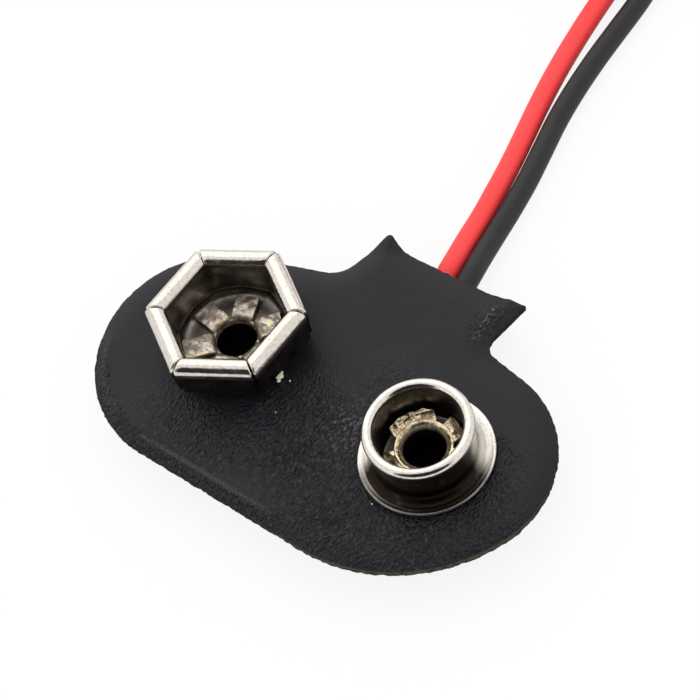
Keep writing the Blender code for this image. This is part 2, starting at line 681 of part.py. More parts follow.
def make_coil(collection, material):
    """The outer shape of both leads' coil: a turned ring with rounded edges."""
    outer = BLACK_COIL_RADIUS + LEAD_DIAMETER / 2 - COIL_EDGE_ROUND
    inner = RED_COIL_RADIUS - LEAD_DIAMETER / 2 + COIL_EDGE_ROUND
    low = COIL_EDGE_ROUND
    high = COIL_HEIGHT - COIL_EDGE_ROUND
    section = []
    for corner, first in (((outer, low), -90), ((outer, high), 0),
                          ((inner, high), 90), ((inner, low), 180)):
        section.extend(arc_points(corner, COIL_EDGE_ROUND, first, first + 90, 2))
    mesh = bpy.data.meshes.new("lead_coil")
    count = len(section)
    mesh.from_pydata([(r, 0.0, z) for r, z in section],
                     [(k, (k + 1) % count) for k in range(count)], [])
    coil = add_object("lead_coil", mesh, collection, material)
    coil.location = (*COIL_CENTRE, 0.0)
    turn = coil.modifiers.new("turn", "SCREW")
    turn.steps = COIL_STEPS
    turn.render_steps = COIL_STEPS
    turn.use_merge_vertices = True
    turn.merge_threshold = 0.00001
    turn.use_normal_flip = True
    return coil


def tail_arc(first, last):
    """Points on the table beside the coil, along an arc about its centre; angles in degrees."""
    count = max(2, round(math.radians(last - first) * TAIL_RADIUS / (2.5 * LEAD_DIAMETER)) + 1)
    angles = np.radians(np.linspace(first, last, count))
    return [(COIL_CENTRE[0] + TAIL_RADIUS * math.cos(a),
             COIL_CENTRE[1] + TAIL_RADIUS * math.sin(a), LEAD_ON_TABLE) for a in angles]


def make_lead_end(name, angles, collection, insulation, metal):
    """The free end of a lead beside the coil, and its stripped tip."""
    make_tube(name + "_lead_end", tail_arc(*angles), LEAD_DIAMETER, collection, insulation)
    first = angles[1] + math.degrees(COIL_GAP / TAIL_RADIUS)
    last = first + math.degrees(BARE_END_LENGTH / TAIL_RADIUS)
    make_tube(name + "_bare_end", tail_arc(first, last), BARE_END_DIAMETER, collection, metal)


def build():
    """Make every piece."""
    clear_scene()
    parts = new_collection("battery_snap_connector")
    cutters = new_collection("cutters", visible=False)

    cover_black = new_material("cover black", (0.030, 0.030, 0.034), 0.45)
    back_black = new_material("back sheet black", (0.022, 0.022, 0.024), 0.6)
    fibre = new_material("board fibre", (0.16, 0.09, 0.05), 0.8)
    socket_nickel = new_material("socket nickel", (0.80, 0.78, 0.75), 0.18, 1.0)
    stud_nickel = new_material("stud nickel", (0.82, 0.80, 0.77), 0.14, 1.0)
    dull_brass = new_material("dull brass", (0.52, 0.45, 0.36), 0.4, 1.0)
    bright_brass = new_material("bright brass", (0.72, 0.60, 0.40), 0.25, 1.0)
    solder_grey = new_material("solder grey", (0.62, 0.62, 0.64), 0.3, 1.0)
    copper = new_material("tinned copper", (0.70, 0.66, 0.62), 0.35, 1.0)
    red_vinyl = new_material("red vinyl", (0.75, 0.03, 0.035), 0.35)
    black_vinyl = new_material("black vinyl", (0.028, 0.028, 0.030), 0.35)

    crease = line_inside(BOARD_OUTLINE, -CREASE_MARGIN)
    front = formed_sheet("front_cover", face_surface, [crease], -1.0, parts, cover_black)
    pouch_bends = [line_inside(POUCH_OUTLINE, WELD_WIDTH + share * POUCH_RUN)
                   for share in (0.0, 0.5, 1.0)]
    formed_sheet("back_cover", back_surface, pouch_bends, 1.0, parts, back_black)
    board = flat_plate("terminal_board", BOARD_OUTLINE, BOARD_UNDERSIDE, BOARD_TOP, parts, fibre)
    for name, x in (("socket_rivet_hole", SOCKET_X), ("stud_rivet_hole", STUD_X)):
        hole = cylinder_cutter(name, x, RIVET_HOLE_RADIUS, BOARD_UNDERSIDE - 1.0 * MM,
                               FACE_HEIGHT + 1.0 * MM, cutters)
        cut_away(front, hole)
        cut_away(board, hole)

    make_socket_contact(parts, cutters, socket_nickel)
    make_stud_contact(parts, stud_nickel)
    make_socket_eyelet(parts, dull_brass)
    make_stud_eyelet(parts, bright_brass)
    make_solder("socket_solder", SOCKET_X, parts, solder_grey)
    make_solder("stud_solder", STUD_X, parts, solder_grey)
    make_inner_wiring("red", SOCKET_X, RED_ROUTE[0], parts, red_vinyl, copper)
    make_inner_wiring("black", STUD_X, BLACK_ROUTE[0], parts, black_vinyl, copper)

    spacing = 2.5 * LEAD_DIAMETER
    for name, route, vinyl in (("red_lead", RED_ROUTE, red_vinyl),
                               ("black_lead", BLACK_ROUTE, black_vinyl)):
        points = smooth_route(np.array(route) * MM, spacing)
        make_tube(name, points, LEAD_DIAMETER, parts, vinyl)
    make_coil(parts, black_vinyl)
    make_lead_end("red", RED_TAIL_ANGLES, parts, red_vinyl, copper)
    make_lead_end("black", BLACK_TAIL_ANGLES, parts, black_vinyl, copper)


build()
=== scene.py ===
# %% [markdown]
# # A snap connector for a nine volt battery
#
# The solids of this connector are already modelled at their real size. This lesson gives
# them their looks: a welded leather-grain cover, two nickel snaps held by brass rivets, and
# a red and a black lead. We start by loading the solids as a fixed frame.

# %% Load the frame
import math
import bpy
import numpy as np
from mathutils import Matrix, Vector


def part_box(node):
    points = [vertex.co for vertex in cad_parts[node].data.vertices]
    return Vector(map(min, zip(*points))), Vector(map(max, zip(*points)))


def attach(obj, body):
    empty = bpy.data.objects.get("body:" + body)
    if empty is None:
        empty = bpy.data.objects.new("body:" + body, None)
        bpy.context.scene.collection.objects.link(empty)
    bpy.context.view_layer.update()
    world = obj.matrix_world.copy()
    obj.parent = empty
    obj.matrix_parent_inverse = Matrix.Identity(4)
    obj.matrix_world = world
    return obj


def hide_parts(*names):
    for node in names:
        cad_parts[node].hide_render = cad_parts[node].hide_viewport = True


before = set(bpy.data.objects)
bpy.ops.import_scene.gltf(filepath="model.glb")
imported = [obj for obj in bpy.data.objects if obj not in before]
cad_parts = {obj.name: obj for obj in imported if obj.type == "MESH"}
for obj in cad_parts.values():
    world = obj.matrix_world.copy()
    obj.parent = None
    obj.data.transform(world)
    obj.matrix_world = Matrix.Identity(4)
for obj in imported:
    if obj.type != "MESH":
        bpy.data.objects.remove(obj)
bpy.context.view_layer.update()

MM = 0.001
CLEARANCE = 0.1 * MM
socket_low, socket_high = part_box("socket_contact")
stud_low, stud_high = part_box("stud_contact")
SOCKET_X = (socket_low[0] + socket_high[0]) / 2
STUD_X = (stud_low[0] + stud_high[0]) / 2
FACE_Z = stud_low[2] - CLEARANCE
print("face height", FACE_Z, "socket at", SOCKET_X, "stud at", STUD_X)

# %% [markdown]
# ## The camera
#
# The photograph was taken with a long lens from above and to one side, with the camera
# rolled a little. A camera is placed most exactly by its own three directions: where it
# looks, what is to its right and what is up in the picture. The three become the columns of
# its matrix, and the field of view follows from the focal length counted in pixels.

# %% Camera
PICTURE_PIXELS = 700
FOCAL_PIXELS = 3000
SENSOR_MM = 36.0
CAMERA_PLACE = np.array((70.373, -45.353, 131.186)) * MM
CAMERA_LOOK = np.array((-0.462519, 0.312075, -0.829871))
CAMERA_RIGHT = np.array((0.763330, 0.616293, -0.193674))


def stand(item, right, up, place):
    """Set a camera or lamp by its columns: right, up, right x up, and its place."""
    matrix = np.eye(4)
    matrix[:3, :3] = np.stack((right, up, np.cross(right, up)), axis=1)
    matrix[:3, 3] = place
    item.matrix_world = matrix.T.tolist()
    bpy.context.scene.collection.objects.link(item)


def place_camera():
    """A camera that looks backwards along its third column, with up as right x look."""
    data = bpy.data.cameras.new("studio_camera")
    data.sensor_width = SENSOR_MM
    data.lens = FOCAL_PIXELS * SENSOR_MM / PICTURE_PIXELS
    data.clip_start = 0.01
    camera = bpy.data.objects.new("studio_camera", data)
    stand(camera, CAMERA_RIGHT, np.cross(CAMERA_RIGHT, CAMERA_LOOK), CAMERA_PLACE)
    bpy.context.scene.camera = camera
    print("camera with a lens of", data.lens, "mm")


place_camera()

# %% [markdown]
# ## Helpers for surfaces
#
# Every new piece is a grid: a function of two parameters gives a point for each row and
# column, and quads join neighbours. One helper makes the faces of such a grid, and another
# puts whole arrays into a mesh. The columns of each grid close on themselves, as they do
# round a tube.

# %% Grid helpers
def grid_faces(rows, columns, first=0, rows_close=False):
    """Quads of a grid whose columns close: (i, j), (i, j+1), (i+1, j+1) and (i+1, j)."""
    row, column = np.meshgrid(np.arange(rows if rows_close else rows - 1), np.arange(columns),
                              indexing="ij")
    below = (row + 1) % rows
    after = (column + 1) % columns
    quads = np.stack((row * columns + column, row * columns + after,
                      below * columns + after, below * columns + column), axis=-1)
    return first + quads.reshape(-1, 4)


def closed_grid(points):
    """Points and faces of a grid of rings, shut at both ends by a fan round its middle."""
    rows, columns = points.shape[:2]
    ends = points[[0, -1]].mean(axis=1)
    here = np.arange(columns)
    after = (here + 1) % columns
    centre = np.full(columns, rows * columns)
    last = (rows - 1) * columns
    first_fan = np.stack((centre, after, here), axis=-1)
    last_fan = np.stack((centre + 1, last + here, last + after), axis=-1)
    return (np.concatenate((points.reshape(-1, 3), ends)),
            (grid_faces(rows, columns), first_fan, last_fan))


def join_grids(grids):
    """Several closed grids as one list of points and one list of faces."""
    points = []
    faces = []
    first = 0
    for grid in grids:
        more, groups = closed_grid(grid)
        points.append(more)
        faces.extend(group + first for group in groups)
        first += len(more)
    return np.concatenate(points), faces


def new_object(name, points, faces, material=None):
    """Put arrays of points and faces into a mesh object at the origin."""
    mesh = bpy.data.meshes.new(name)
    listed = [face for group in faces for face in group.tolist()]
    mesh.from_pydata(points.reshape(-1, 3).tolist(), [], listed)
    if material is not None:
        mesh.materials.append(material)
    item = bpy.data.objects.new(name, mesh)
    bpy.context.scene.collection.objects.link(item)
    return item


def new_piece(name, points, faces, material, stands_for=(), smooth_angle=50):
    """A smoothly shaded mesh object that rides on the one body."""
    piece = new_object(name, points, faces, material)
    mesh = piece.data
    mesh.shade_smooth()
    mesh.set_sharp_from_angle(angle=math.radians(smooth_angle))
    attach(piece, "root")
    if stands_for:
        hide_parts(*stands_for)
    print(name, len(mesh.vertices), "points", len(mesh.polygons), "faces")
    return piece


def keep_number(piece, name, values):
    """Store one number for each point, which the material reads by its name."""
    store = piece.data.attributes.new(name, "FLOAT", "POINT")
    store.data.foreach_set("value", np.asarray(values, dtype=np.float32).reshape(-1))


def smooth_step(value):
    """Rise from 0 to 1 with level ends: 3 v^2 - 2 v^3."""
    value = np.clip(value, 0.0, 1.0)
    return value * value * (3.0 - 2.0 * value)


def smooth_rows(rows, steps):
    """Catmull-Rom curve through rows of any width, with the same steps in each gap."""
    rows = np.asarray(rows, dtype=float)
    ends = np.concatenate((2 * rows[:1] - rows[1:2], rows, 2 * rows[-1:] - rows[-2:-1]))
    a, b, c, d = (ends[k:len(ends) - 3 + k, None, :] for k in range(4))
    t = np.linspace(0.0, 1.0, steps, endpoint=False)[None, :, None]
    dense = 0.5 * (2 * b + (c - a) * t + (2 * a - 5 * b + 4 * c - d) * t ** 2
                   + (3 * b - a - 3 * c + d) * t ** 3)
    return np.concatenate((dense.reshape(-1, rows.shape[1]), rows[-1:]))


# %% [markdown]
# ## Shader maths
#
# A procedural material is arithmetic on textures. Written node by node it is long and hard
# to read, so a small class wraps a socket and turns Python's own operators into Math nodes.
# Any other node comes from one method that takes the node's type, its settings, and the
# values or links of its sockets.

# %% Socket wrapper and material builder
def math_node(operation, reflected=False):
    """A method that adds a Math node; the reflected form is for a number on the left."""
    def combine(self, other):
        first, second = (other, self) if reflected else (self, other)
        return self.finish.add("ShaderNodeMath", {0: first, 1: second}, operation=operation)
    return combine


class Value:
    """A socket of a material under construction, which Python's operators can combine."""

    def __init__(self, finish, socket):
        self.finish = finish
        self.socket = socket

    __add__ = math_node("ADD")
    __radd__ = math_node("ADD", reflected=True)
    __sub__ = math_node("SUBTRACT")
    __rsub__ = math_node("SUBTRACT", reflected=True)
    __mul__ = math_node("MULTIPLY")
    __rmul__ = math_node("MULTIPLY", reflected=True)
    most = math_node("MAXIMUM")

    def between(self, low, high):
        """0 below low, 1 above high, and a smooth rise from one to the other."""
        sockets = {"Value": self, "From Min": low, "From Max": high}
        return self.finish.add("ShaderNodeMapRange", sockets,
                               interpolation_type="SMOOTHSTEP", clamp=True)


class Finish:
    """A material under construction round one Principled shader."""

    def __init__(self, name, **constants):
        self.material = bpy.data.materials.new(name)
        self.material.use_nodes = True
        self.tree = self.material.node_tree
        self.shader = self.tree.nodes["Principled BSDF"]
        for socket, value in constants.items():
            self.shader.inputs[socket.replace("_", " ")].default_value = value

    def add(self, kind, sockets, output=0, **settings):
        """Add a node: settings first, then a value or a link for each named socket."""
        node = self.tree.nodes.new(kind)
        for setting, value in settings.items():
            setattr(node, setting, value)
        for socket, value in sockets.items():
            self.set(node.inputs[socket], value)
        return Value(self, node.outputs[output])

    def set(self, socket, value):
        """Link a Value to a socket, or store a plain number or colour there."""
        if isinstance(value, Value):
            self.tree.links.new(value.socket, socket)
        else:
            socket.default_value = value

    def feed(self, socket, value):
        """Give one of the shader's own sockets its value."""
        self.set(self.shader.inputs[socket], value)

    def kept(self, name):
        """A number that keep_number stored with the mesh."""
        return self.add("ShaderNodeAttribute", {}, output="Fac", attribute_name=name)

    def place(self, stretch=(1.0, 1.0, 1.0)):
        """Object coordinates, in metres, each multiplied by a number."""
        place = self.add("ShaderNodeTexCoord", {}, output="Object")
        return self.add("ShaderNodeVectorMath", {0: place, 1: stretch}, operation="MULTIPLY")

    def along_axis(self, axis):
        """One of the three object coordinates."""
        return self.add("ShaderNodeSeparateXYZ", {0: self.place()}, output=axis)

    def warped(self, size, reach, stretch=(1.0, 1.0, 1.0)):
        """Object coordinates pushed about by noise of a size, by up to a reach."""
        noise = self.noise(size, 3.0, output="Color")
        push = self.add("ShaderNodeVectorMath", {0: noise, 3: reach}, operation="SCALE")
        place = self.place(stretch)
        return self.add("ShaderNodeVectorMath", {0: place, 1: push}, operation="ADD")

    def noise(self, size, detail=3.0, place=None, output="Fac"):
        """Noise whose blobs are about the given size."""
        place = self.place() if place is None else place
        sockets = {"Vector": place, "Scale": 1.0 / size, "Detail": detail}
        return self.add("ShaderNodeTexNoise", sockets, output=output)

    def cells(self, size, place=None, feature="F1"):
        """Distance to the nearest Voronoi point, or to the border of its cell."""
        place = self.place() if place is None else place
        return self.add("ShaderNodeTexVoronoi", {"Vector": place, "Scale": 1.0 / size},
                        output="Distance", feature=feature)

    def mix(self, share, first, second):
        """Blend two colours."""
        return self.add("ShaderNodeMix", {0: share, 6: first, 7: second}, output=2,
                        data_type="RGBA")

    def bump(self, height, depth, after=None):
        """A normal bent by a height from 0 to 1 that stands for the given depth."""
        sockets = {"Height": height, "Distance": depth, "Strength": 1.0}
        if after is not None:
            sockets["Normal"] = after
        return self.add("ShaderNodeBump", sockets, output="Normal")


def rgb(red, green, blue):
    """A colour with full alpha."""
    return (red, green, blue, 1.0)


# %% [markdown]
# ## Vinyl for the leads
#
# Both leads are stranded wire in soft vinyl. The vinyl is satin, drawn through a die, so its
# gloss is uneven and it has a very fine roughness. Its colour drifts slightly with the
# thickness, and a few scuffs catch the light. The rest comes from the lead's own roundness.
# The tinned strands are metal, mottled by noise.

# %% Vinyl finishes
def vinyl_finish(name, colour, deeper, wear_and_glint, roughness):
    """Satin vinyl: colour and gloss drift a little, and sparse scuffs are paler and rougher."""
    finish = Finish(name, IOR=1.45)
    drift = finish.noise(2.2 * MM, 2.0)
    scratches = finish.noise(0.25 * MM, 4.0).between(0.62, 0.80)
    scuff = scratches * finish.noise(1.6 * MM, 2.0).between(0.5, 0.7)
    finish.feed("Base Color", finish.mix(scuff * 0.5, finish.mix(drift, colour, deeper), wear_and_glint))
    fine = finish.noise(0.12 * MM, 4.0)
    finish.feed("Roughness", roughness + 0.10 * fine + 0.2 * scuff)
    finish.feed("Normal", finish.bump(fine, 0.006 * MM))
    return finish.material


red_vinyl = vinyl_finish("red vinyl", rgb(0.98, 0.056, 0.056), rgb(0.95, 0.046, 0.046),
                         rgb(0.95, 0.13, 0.13), 0.44)
black_vinyl = vinyl_finish("black vinyl", rgb(0.016, 0.016, 0.017), rgb(0.010, 0.010, 0.011),
                           rgb(0.08, 0.08, 0.08), 0.40)

tinned = Finish("tinned strands", Metallic=1.0)
tinned.feed("Base Color", tinned.mix(tinned.noise(0.5 * MM), rgb(0.75, 0.73, 0.70),
                                     rgb(0.55, 0.52, 0.48)))
tinned.feed("Roughness", 0.25 + 0.2 * tinned.noise(0.2 * MM))
tinned_wire = tinned.material
print("finishes:", red_vinyl.name, black_vinyl.name, tinned_wire.name)

# %% [markdown]
# ## The leads
#
# A lead has a fixed length of 150 mm, with its last 5 mm stripped. It leaves the tab, sinks
# to the table and runs out of the picture in a slow curve. There the rest is wound up in a
# neat coil, the black lead round the red one. Each turn lies on the one below: it keeps its
# height for most of the way round, and climbs by one diameter where it meets the lead that
# comes in. After its turns a lead steps down over the outside and ends beside the coil.

# %% Lead route
LEAD_DIAMETER = 1.2 * MM
INSULATED_LENGTH = 145.0 * MM
BARE_LENGTH = 5.0 * MM
RED_ROUTE = (
    (-0.56, 9.15, 1.00), (-0.66, 9.81, 1.00), (-0.86, 10.93, 0.98), (-1.20, 12.4, 0.80),
    (-1.52, 14.0, 0.62), (-1.85, 15.6, 0.60), (-2.28, 17.6, 0.60), (-2.80, 19.6, 0.60),
    (-3.33, 21.6, 0.60), (-3.81, 23.7, 0.60), (-4.20, 25.85, 0.60), (-4.52, 28.05, 0.60),
    (-4.78, 30.4, 0.60), (-4.92, 32.6, 0.60), (-5.00, 34.9, 0.60), (-5.00, 37.0, 0.60),
)
BLACK_ROUTE = (
    (0.69, 9.25, 1.00), (0.59, 9.91, 1.00), (0.42, 10.83, 1.00), (0.12, 12.1, 0.85),
    (-0.22, 13.7, 0.65), (-0.47, 15.2, 0.60), (-0.84, 17.2, 0.60), (-1.33, 19.2, 0.60),
    (-1.85, 21.3, 0.60), (-2.22, 23.4, 0.60), (-2.48, 25.65, 0.60), (-2.64, 27.9, 0.60),
    (-2.80, 30.2, 0.60), (-3.16, 32.6, 0.60), (-3.58, 34.9, 0.60), (-3.73, 37.0, 0.60),
)
COIL_CENTRE = np.array((-12.0, 39.0)) * MM
ANGLE_STEP = 6.0
TURN_STEP = 1.22 * MM
CLIMB_FROM = 0.72
CLIMB_SHARE = 0.18
TAIL_RADIUS = 9.75 * MM
ROUTE_STEPS = 16


def coil_points(radius, turns_end, step_out, step_down, tail_end):
    """Points of a coil, by angle a in degrees from its start.

    The radius is constant until turns_end and then grows to the tail's radius over step_out.
    The height is one lead radius plus a step for every whole turn, each step taken smoothly
    within the last part of its turn, and it falls back to the table during step_down.
    """
    angle = np.arange(ANGLE_STEP, tail_end + 0.1, ANGLE_STEP)
    whole = np.floor(angle / 360.0)
    climbed = smooth_step((angle / 360.0 - whole - CLIMB_FROM) / CLIMB_SHARE)
    height = TURN_STEP * (whole + climbed)
    fall_from, fall_to = step_down
    height = height * (1.0 - smooth_step((angle - fall_from) / (fall_to - fall_from)))
    out = smooth_step((angle - turns_end) / step_out)
    reach = radius + (TAIL_RADIUS - radius) * out
    turned = np.radians(angle)
    return np.stack((COIL_CENTRE[0] + reach * np.cos(turned),
                     COIL_CENTRE[1] + reach * np.sin(turned),
                     LEAD_DIAMETER / 2 + height), axis=1)


def along(path):
    """Length travelled at each point of a path."""
    return np.concatenate(((0.0,), np.cumsum(np.linalg.norm(np.diff(path, axis=0), axis=1))))


def part_of_path(path, first, last, spacing):
    """Evenly spaced points between two lengths along a path."""
    travelled = along(path)
    wanted = np.linspace(first, last, round((last - first) / spacing) + 1)
    return np.stack([np.interp(wanted, travelled, path[:, k]) for k in range(3)], axis=1)


def whole_route(first_part, coil):
    """One smooth curve through the points that leave the tab and those of the coil."""
    return smooth_rows(np.concatenate((np.array(first_part) * MM, coil)), ROUTE_STEPS)


red_route = whole_route(RED_ROUTE, coil_points(
    radius=7.0 * MM, turns_end=838.0, step_out=42.0, step_down=(860.0, 894.0), tail_end=960.0))
black_route = whole_route(BLACK_ROUTE, coil_points(
    radius=8.25 * MM, turns_end=728.0, step_out=36.0, step_down=(742.0, 770.0), tail_end=840.0))
print("routes of", along(red_route)[-1], "and", along(black_route)[-1])

# %% [markdown]
# The vinyl is a plain round tube along that path. Where it ends, the stripped strands stick
# out: one in the middle and six wound round it, dipped in tin so that they hold together.

# %% Leads and stripped ends
LEAD_SIDES = 24
LEAD_SPACING = 0.3 * MM
CUT_END_SHARE = 0.93
STRAND_SIDES = 8
STRAND_SPACING = 0.12 * MM
STRAND_RADIUS = 0.1 * MM
STRAND_PITCH = 3.6 * MM
TIN_SHARE = 1.04
HIDDEN_LENGTH = 0.4 * MM
OUTER_STRANDS = 6


def path_frame(path):
    """Side and up directions along a path that never stands upright."""
    ahead = np.gradient(path, axis=0)
    ahead = ahead / np.linalg.norm(ahead, axis=1)[:, None]
    side = np.cross(ahead, (0.0, 0.0, 1.0))
    side = side / np.linalg.norm(side, axis=1)[:, None]
    return side, np.cross(side, ahead)


def tube(path, radius, sides):
    """Rings of a tube: centre + r (cos a side - sin a up)."""
    side, up = path_frame(path)
    angle = 2 * np.pi * np.arange(sides) / sides
    ring = (np.cos(angle)[None, :, None] * side[:, None, :]
            - np.sin(angle)[None, :, None] * up[:, None, :])
    radius = np.broadcast_to(np.asarray(radius), (len(path),))[:, None, None]
    return path[:, None, :] + radius * ring


def insulated_lead(name, route, material, stands_for):
    """The vinyl tube, with slightly rounded cut ends."""
    path = part_of_path(route, 0.0, INSULATED_LENGTH, LEAD_SPACING)
    radius = np.full(len(path), LEAD_DIAMETER / 2)
    radius[[0, -1]] *= CUT_END_SHARE
    points, faces = join_grids([tube(path, radius, LEAD_SIDES)])
    cord = new_piece(name, points, faces, material, stands_for)
    print(name, "ends at", path[-1] / MM)


def bare_end(name, route, stands_for):
    """Seven strands: six at two radii from the middle that turn with the length, and one in it.

    They start a little way inside the vinyl, and tin makes each one a little thicker.
    """
    path = part_of_path(route, INSULATED_LENGTH - HIDDEN_LENGTH,
                        INSULATED_LENGTH + BARE_LENGTH, STRAND_SPACING)
    side, up = path_frame(path)
    grids = []
    for strand in range(OUTER_STRANDS + 1):
        turn = 2 * np.pi * (along(path) / STRAND_PITCH + strand / OUTER_STRANDS)
        reach = 0.0 if strand == OUTER_STRANDS else 2 * STRAND_RADIUS
        centre = path + reach * (np.cos(turn)[:, None] * side + np.sin(turn)[:, None] * up)
        grids.append(tube(centre, STRAND_RADIUS * TIN_SHARE, STRAND_SIDES))
    points, faces = join_grids(grids)
    return new_piece(name, points, faces, tinned_wire, stands_for)


red_strands = bare_end("red_strands", red_route, ("red_bare_end",))
black_strands = bare_end("black_strands", black_route, ("black_bare_end",))
insulated_lead("red_vinyl_lead", red_route, red_vinyl,
               ("red_lead", "red_lead_end"))
insulated_lead("black_vinyl_lead", black_route, black_vinyl,
               ("black_lead", "black_lead_end", "lead_coil"))

# %% [markdown]
# ## Studio
#
# The floor and the world are white where the camera sees them. Metal shows what it mirrors,
# so the world that reflections see matters most: bright nearly all round, as under a large
# soft box, with one dark cone, low in front of the object and to one side, where the dark
# room is. That gives the rolled edges their white tops and dark flanks. Metal sees the floor
# a little dimmer than the camera does. A large soft lamp behind and to the left adds a plain,
# gentle direction to the even light.

# %% Floor, world and lamp
FLOOR_HALF_SIZE = 1.5
FLOOR_Z = -0.02 * MM
FLOOR_OWN_LIGHT = 0.86
FLOOR_IN_METAL = 0.72
FLOOR_IN_METAL_SHARE = 0.7
WORLD_LIGHT = 1.10
SOFT_BOX_SKY = 0.89
DARK_ROOM = 0.02
DARK_DIRECTION = (0.583, -0.694, 0.423)
DARK_EDGE_COSINES = (0.66, 0.79)


def make_floor():
    """A pale floor, just below the object.

    To the camera it is mostly even white, with the object's shadow on it. Reflections see
    mostly an even light that is a little dimmer.
    """
    finish = Finish("pale floor", Base_Color=rgb(0.90, 0.90, 0.90), Roughness=0.9,
                    Specular_IOR_Level=0.1)
    seen = finish.add("ShaderNodeLightPath", {}, output="Is Camera Ray")
    glossy = finish.add("ShaderNodeLightPath", {}, output="Is Glossy Ray")
    glow = finish.add("ShaderNodeEmission", {"Strength": 1.0})
    dim = finish.add("ShaderNodeEmission", {"Strength": FLOOR_IN_METAL})
    lit = Value(finish, finish.shader.outputs[0])
    blend = finish.add("ShaderNodeMixShader", {0: seen * FLOOR_OWN_LIGHT, 1: lit, 2: glow})
    in_metal = glossy * FLOOR_IN_METAL_SHARE
    blend = finish.add("ShaderNodeMixShader", {0: in_metal, 1: blend, 2: dim})
    finish.set(finish.tree.nodes["Material Output"].inputs[0], blend)
    corners = np.array(((-1, -1), (1, -1), (1, 1), (-1, 1))) * FLOOR_HALF_SIZE
    corners = np.column_stack((corners, np.full(4, FLOOR_Z)))
    floor = new_object("studio_floor", corners, (np.arange(4)[None],), finish.material)


class Sky(Finish):
    """A world under construction, which has a Background in place of a surface shader."""

    def __init__(self, name):
        self.world = bpy.data.worlds.new(name)
        self.world.use_nodes = True
        self.tree = self.world.node_tree
        bpy.context.scene.world = self.world


def make_world():
    """Even light; reflections see a bright sky with one dark, soft-edged cone low in front."""
    sky = Sky("studio")
    direction = sky.add("ShaderNodeTexCoord", {}, output="Generated")
    towards = sky.add("ShaderNodeVectorMath", {0: direction, 1: DARK_DIRECTION}, output="Value",
                      operation="DOT_PRODUCT")
    dark = towards.between(*DARK_EDGE_COSINES)
    mirrored = SOFT_BOX_SKY - (SOFT_BOX_SKY - DARK_ROOM) * dark
    glossy = sky.add("ShaderNodeLightPath", {}, output="Is Glossy Ray")
    seen = sky.add("ShaderNodeLightPath", {}, output="Is Camera Ray")
    strength = glossy * mirrored + seen + (1.0 - glossy.most(seen)) * WORLD_LIGHT
    background = sky.tree.nodes["Background"].inputs
    sky.set(background["Color"], rgb(1.0, 1.0, 1.0))
    sky.set(background["Strength"], strength)


def add_lamp(name, place, size, power):
    """A square soft lamp at a place, aimed at the middle of the object."""
    data = bpy.data.lights.new(name, "AREA")
    data.shape = "SQUARE"
    data.size = size
    data.energy = power
    lamp = bpy.data.objects.new(name, data)
    away = np.array(place) / np.linalg.norm(place)
    right = np.cross((0.0, 0.0, 1.0), away)
    right = right / np.linalg.norm(right)
    stand(lamp, right, np.cross(away, right), place)
    print(name, "at", place)


make_floor()
make_world()
add_lamp("back_softbox", (-0.20, 0.13, 0.26), size=0.40, power=0.24)
bpy.context.scene.view_settings.view_transform = "Standard"

# %% [markdown]
# ## The cover's outline
#
# Both sheets of the cover share one outline: two round lobes, a straight near side and a tab
# that flares to sharp tips. It is given by ten corners, each with its place and the radius of
# its fillet in millimetres, and the stiff board below by four. The helper turns the corners
# into points at even steps along the edge. The outline is seen whole from a point between the
# snaps, so a sheet can be a fan of rays from there out to the edge.

# %% Outline
COVER_CORNERS = (
    (-13.47, -7.86, 7.14), (9.90, -7.38, 9.22), (15.24, 5.29, 5.93), (4.65, 6.74, 0.80),
    (5.00, 9.99, 0.06), (2.78, 9.57, 4.00), (-2.59, 9.24, 3.00), (-3.78, 9.68, 0.22),
    (-4.60, 6.34, 1.74), (-13.75, 3.13, 6.51),
)
BOARD_CORNERS = (
    (-12.25, -6.60, 6.00), (9.03, -6.18, 8.20), (13.65, 4.48, 4.93), (-12.48, 2.43, 5.51),
)
COVER_LINE_POINTS = 240
BOARD_LINE_POINTS = 120
ARC_STEPS = 40
BATCH = 4000


def rounded_outline(corners, count):
    """Even points round a polygon with a fillet at each corner.

    A fillet of radius r in a corner of half angle h starts r / tan h from the corner, and its
    centre lies r / sin h from it on the bisector. Fillets that would overlap shrink together.
    """
    corners = np.array(corners) * MM
    places = corners[:, :2]
    to_next = np.roll(places, -1, axis=0) - places
    lengths = np.linalg.norm(to_next, axis=1)
    after = to_next / lengths[:, None]
    before = -np.roll(after, 1, axis=0)
    half = np.arccos((before * after).sum(axis=1)) / 2
    tangent = corners[:, 2] / np.tan(half)
    room = 0.998 * lengths / (tangent + np.roll(tangent, -1))
    tangent = tangent * np.minimum(1.0, np.minimum(room, np.roll(room, 1)))
    radius = tangent * np.tan(half)
    middle = before + after
    middle = middle / np.linalg.norm(middle, axis=1)[:, None]
    centre = places + middle * (radius / np.sin(half))[:, None]
    start = places + before * tangent[:, None] - centre
    finish = places + after * tangent[:, None] - centre
    first = np.arctan2(start[:, 1], start[:, 0])
    sweep = np.arctan2(finish[:, 1], finish[:, 0]) - first
    sweep = (sweep + np.pi) % (2 * np.pi) - np.pi
    angle = first[:, None] + sweep[:, None] * np.linspace(0.0, 1.0, ARC_STEPS)[None, :]
    ring = np.stack((np.cos(angle), np.sin(angle)), axis=-1)
    line = (centre[:, None, :] + radius[:, None, None] * ring).reshape(-1, 2)
    line = np.concatenate((line, line[:1]))
    travelled = along(line)
    wanted = travelled[-1] * np.arange(count) / count
    return np.stack([np.interp(wanted, travelled, line[:, k]) for k in range(2)], axis=1)


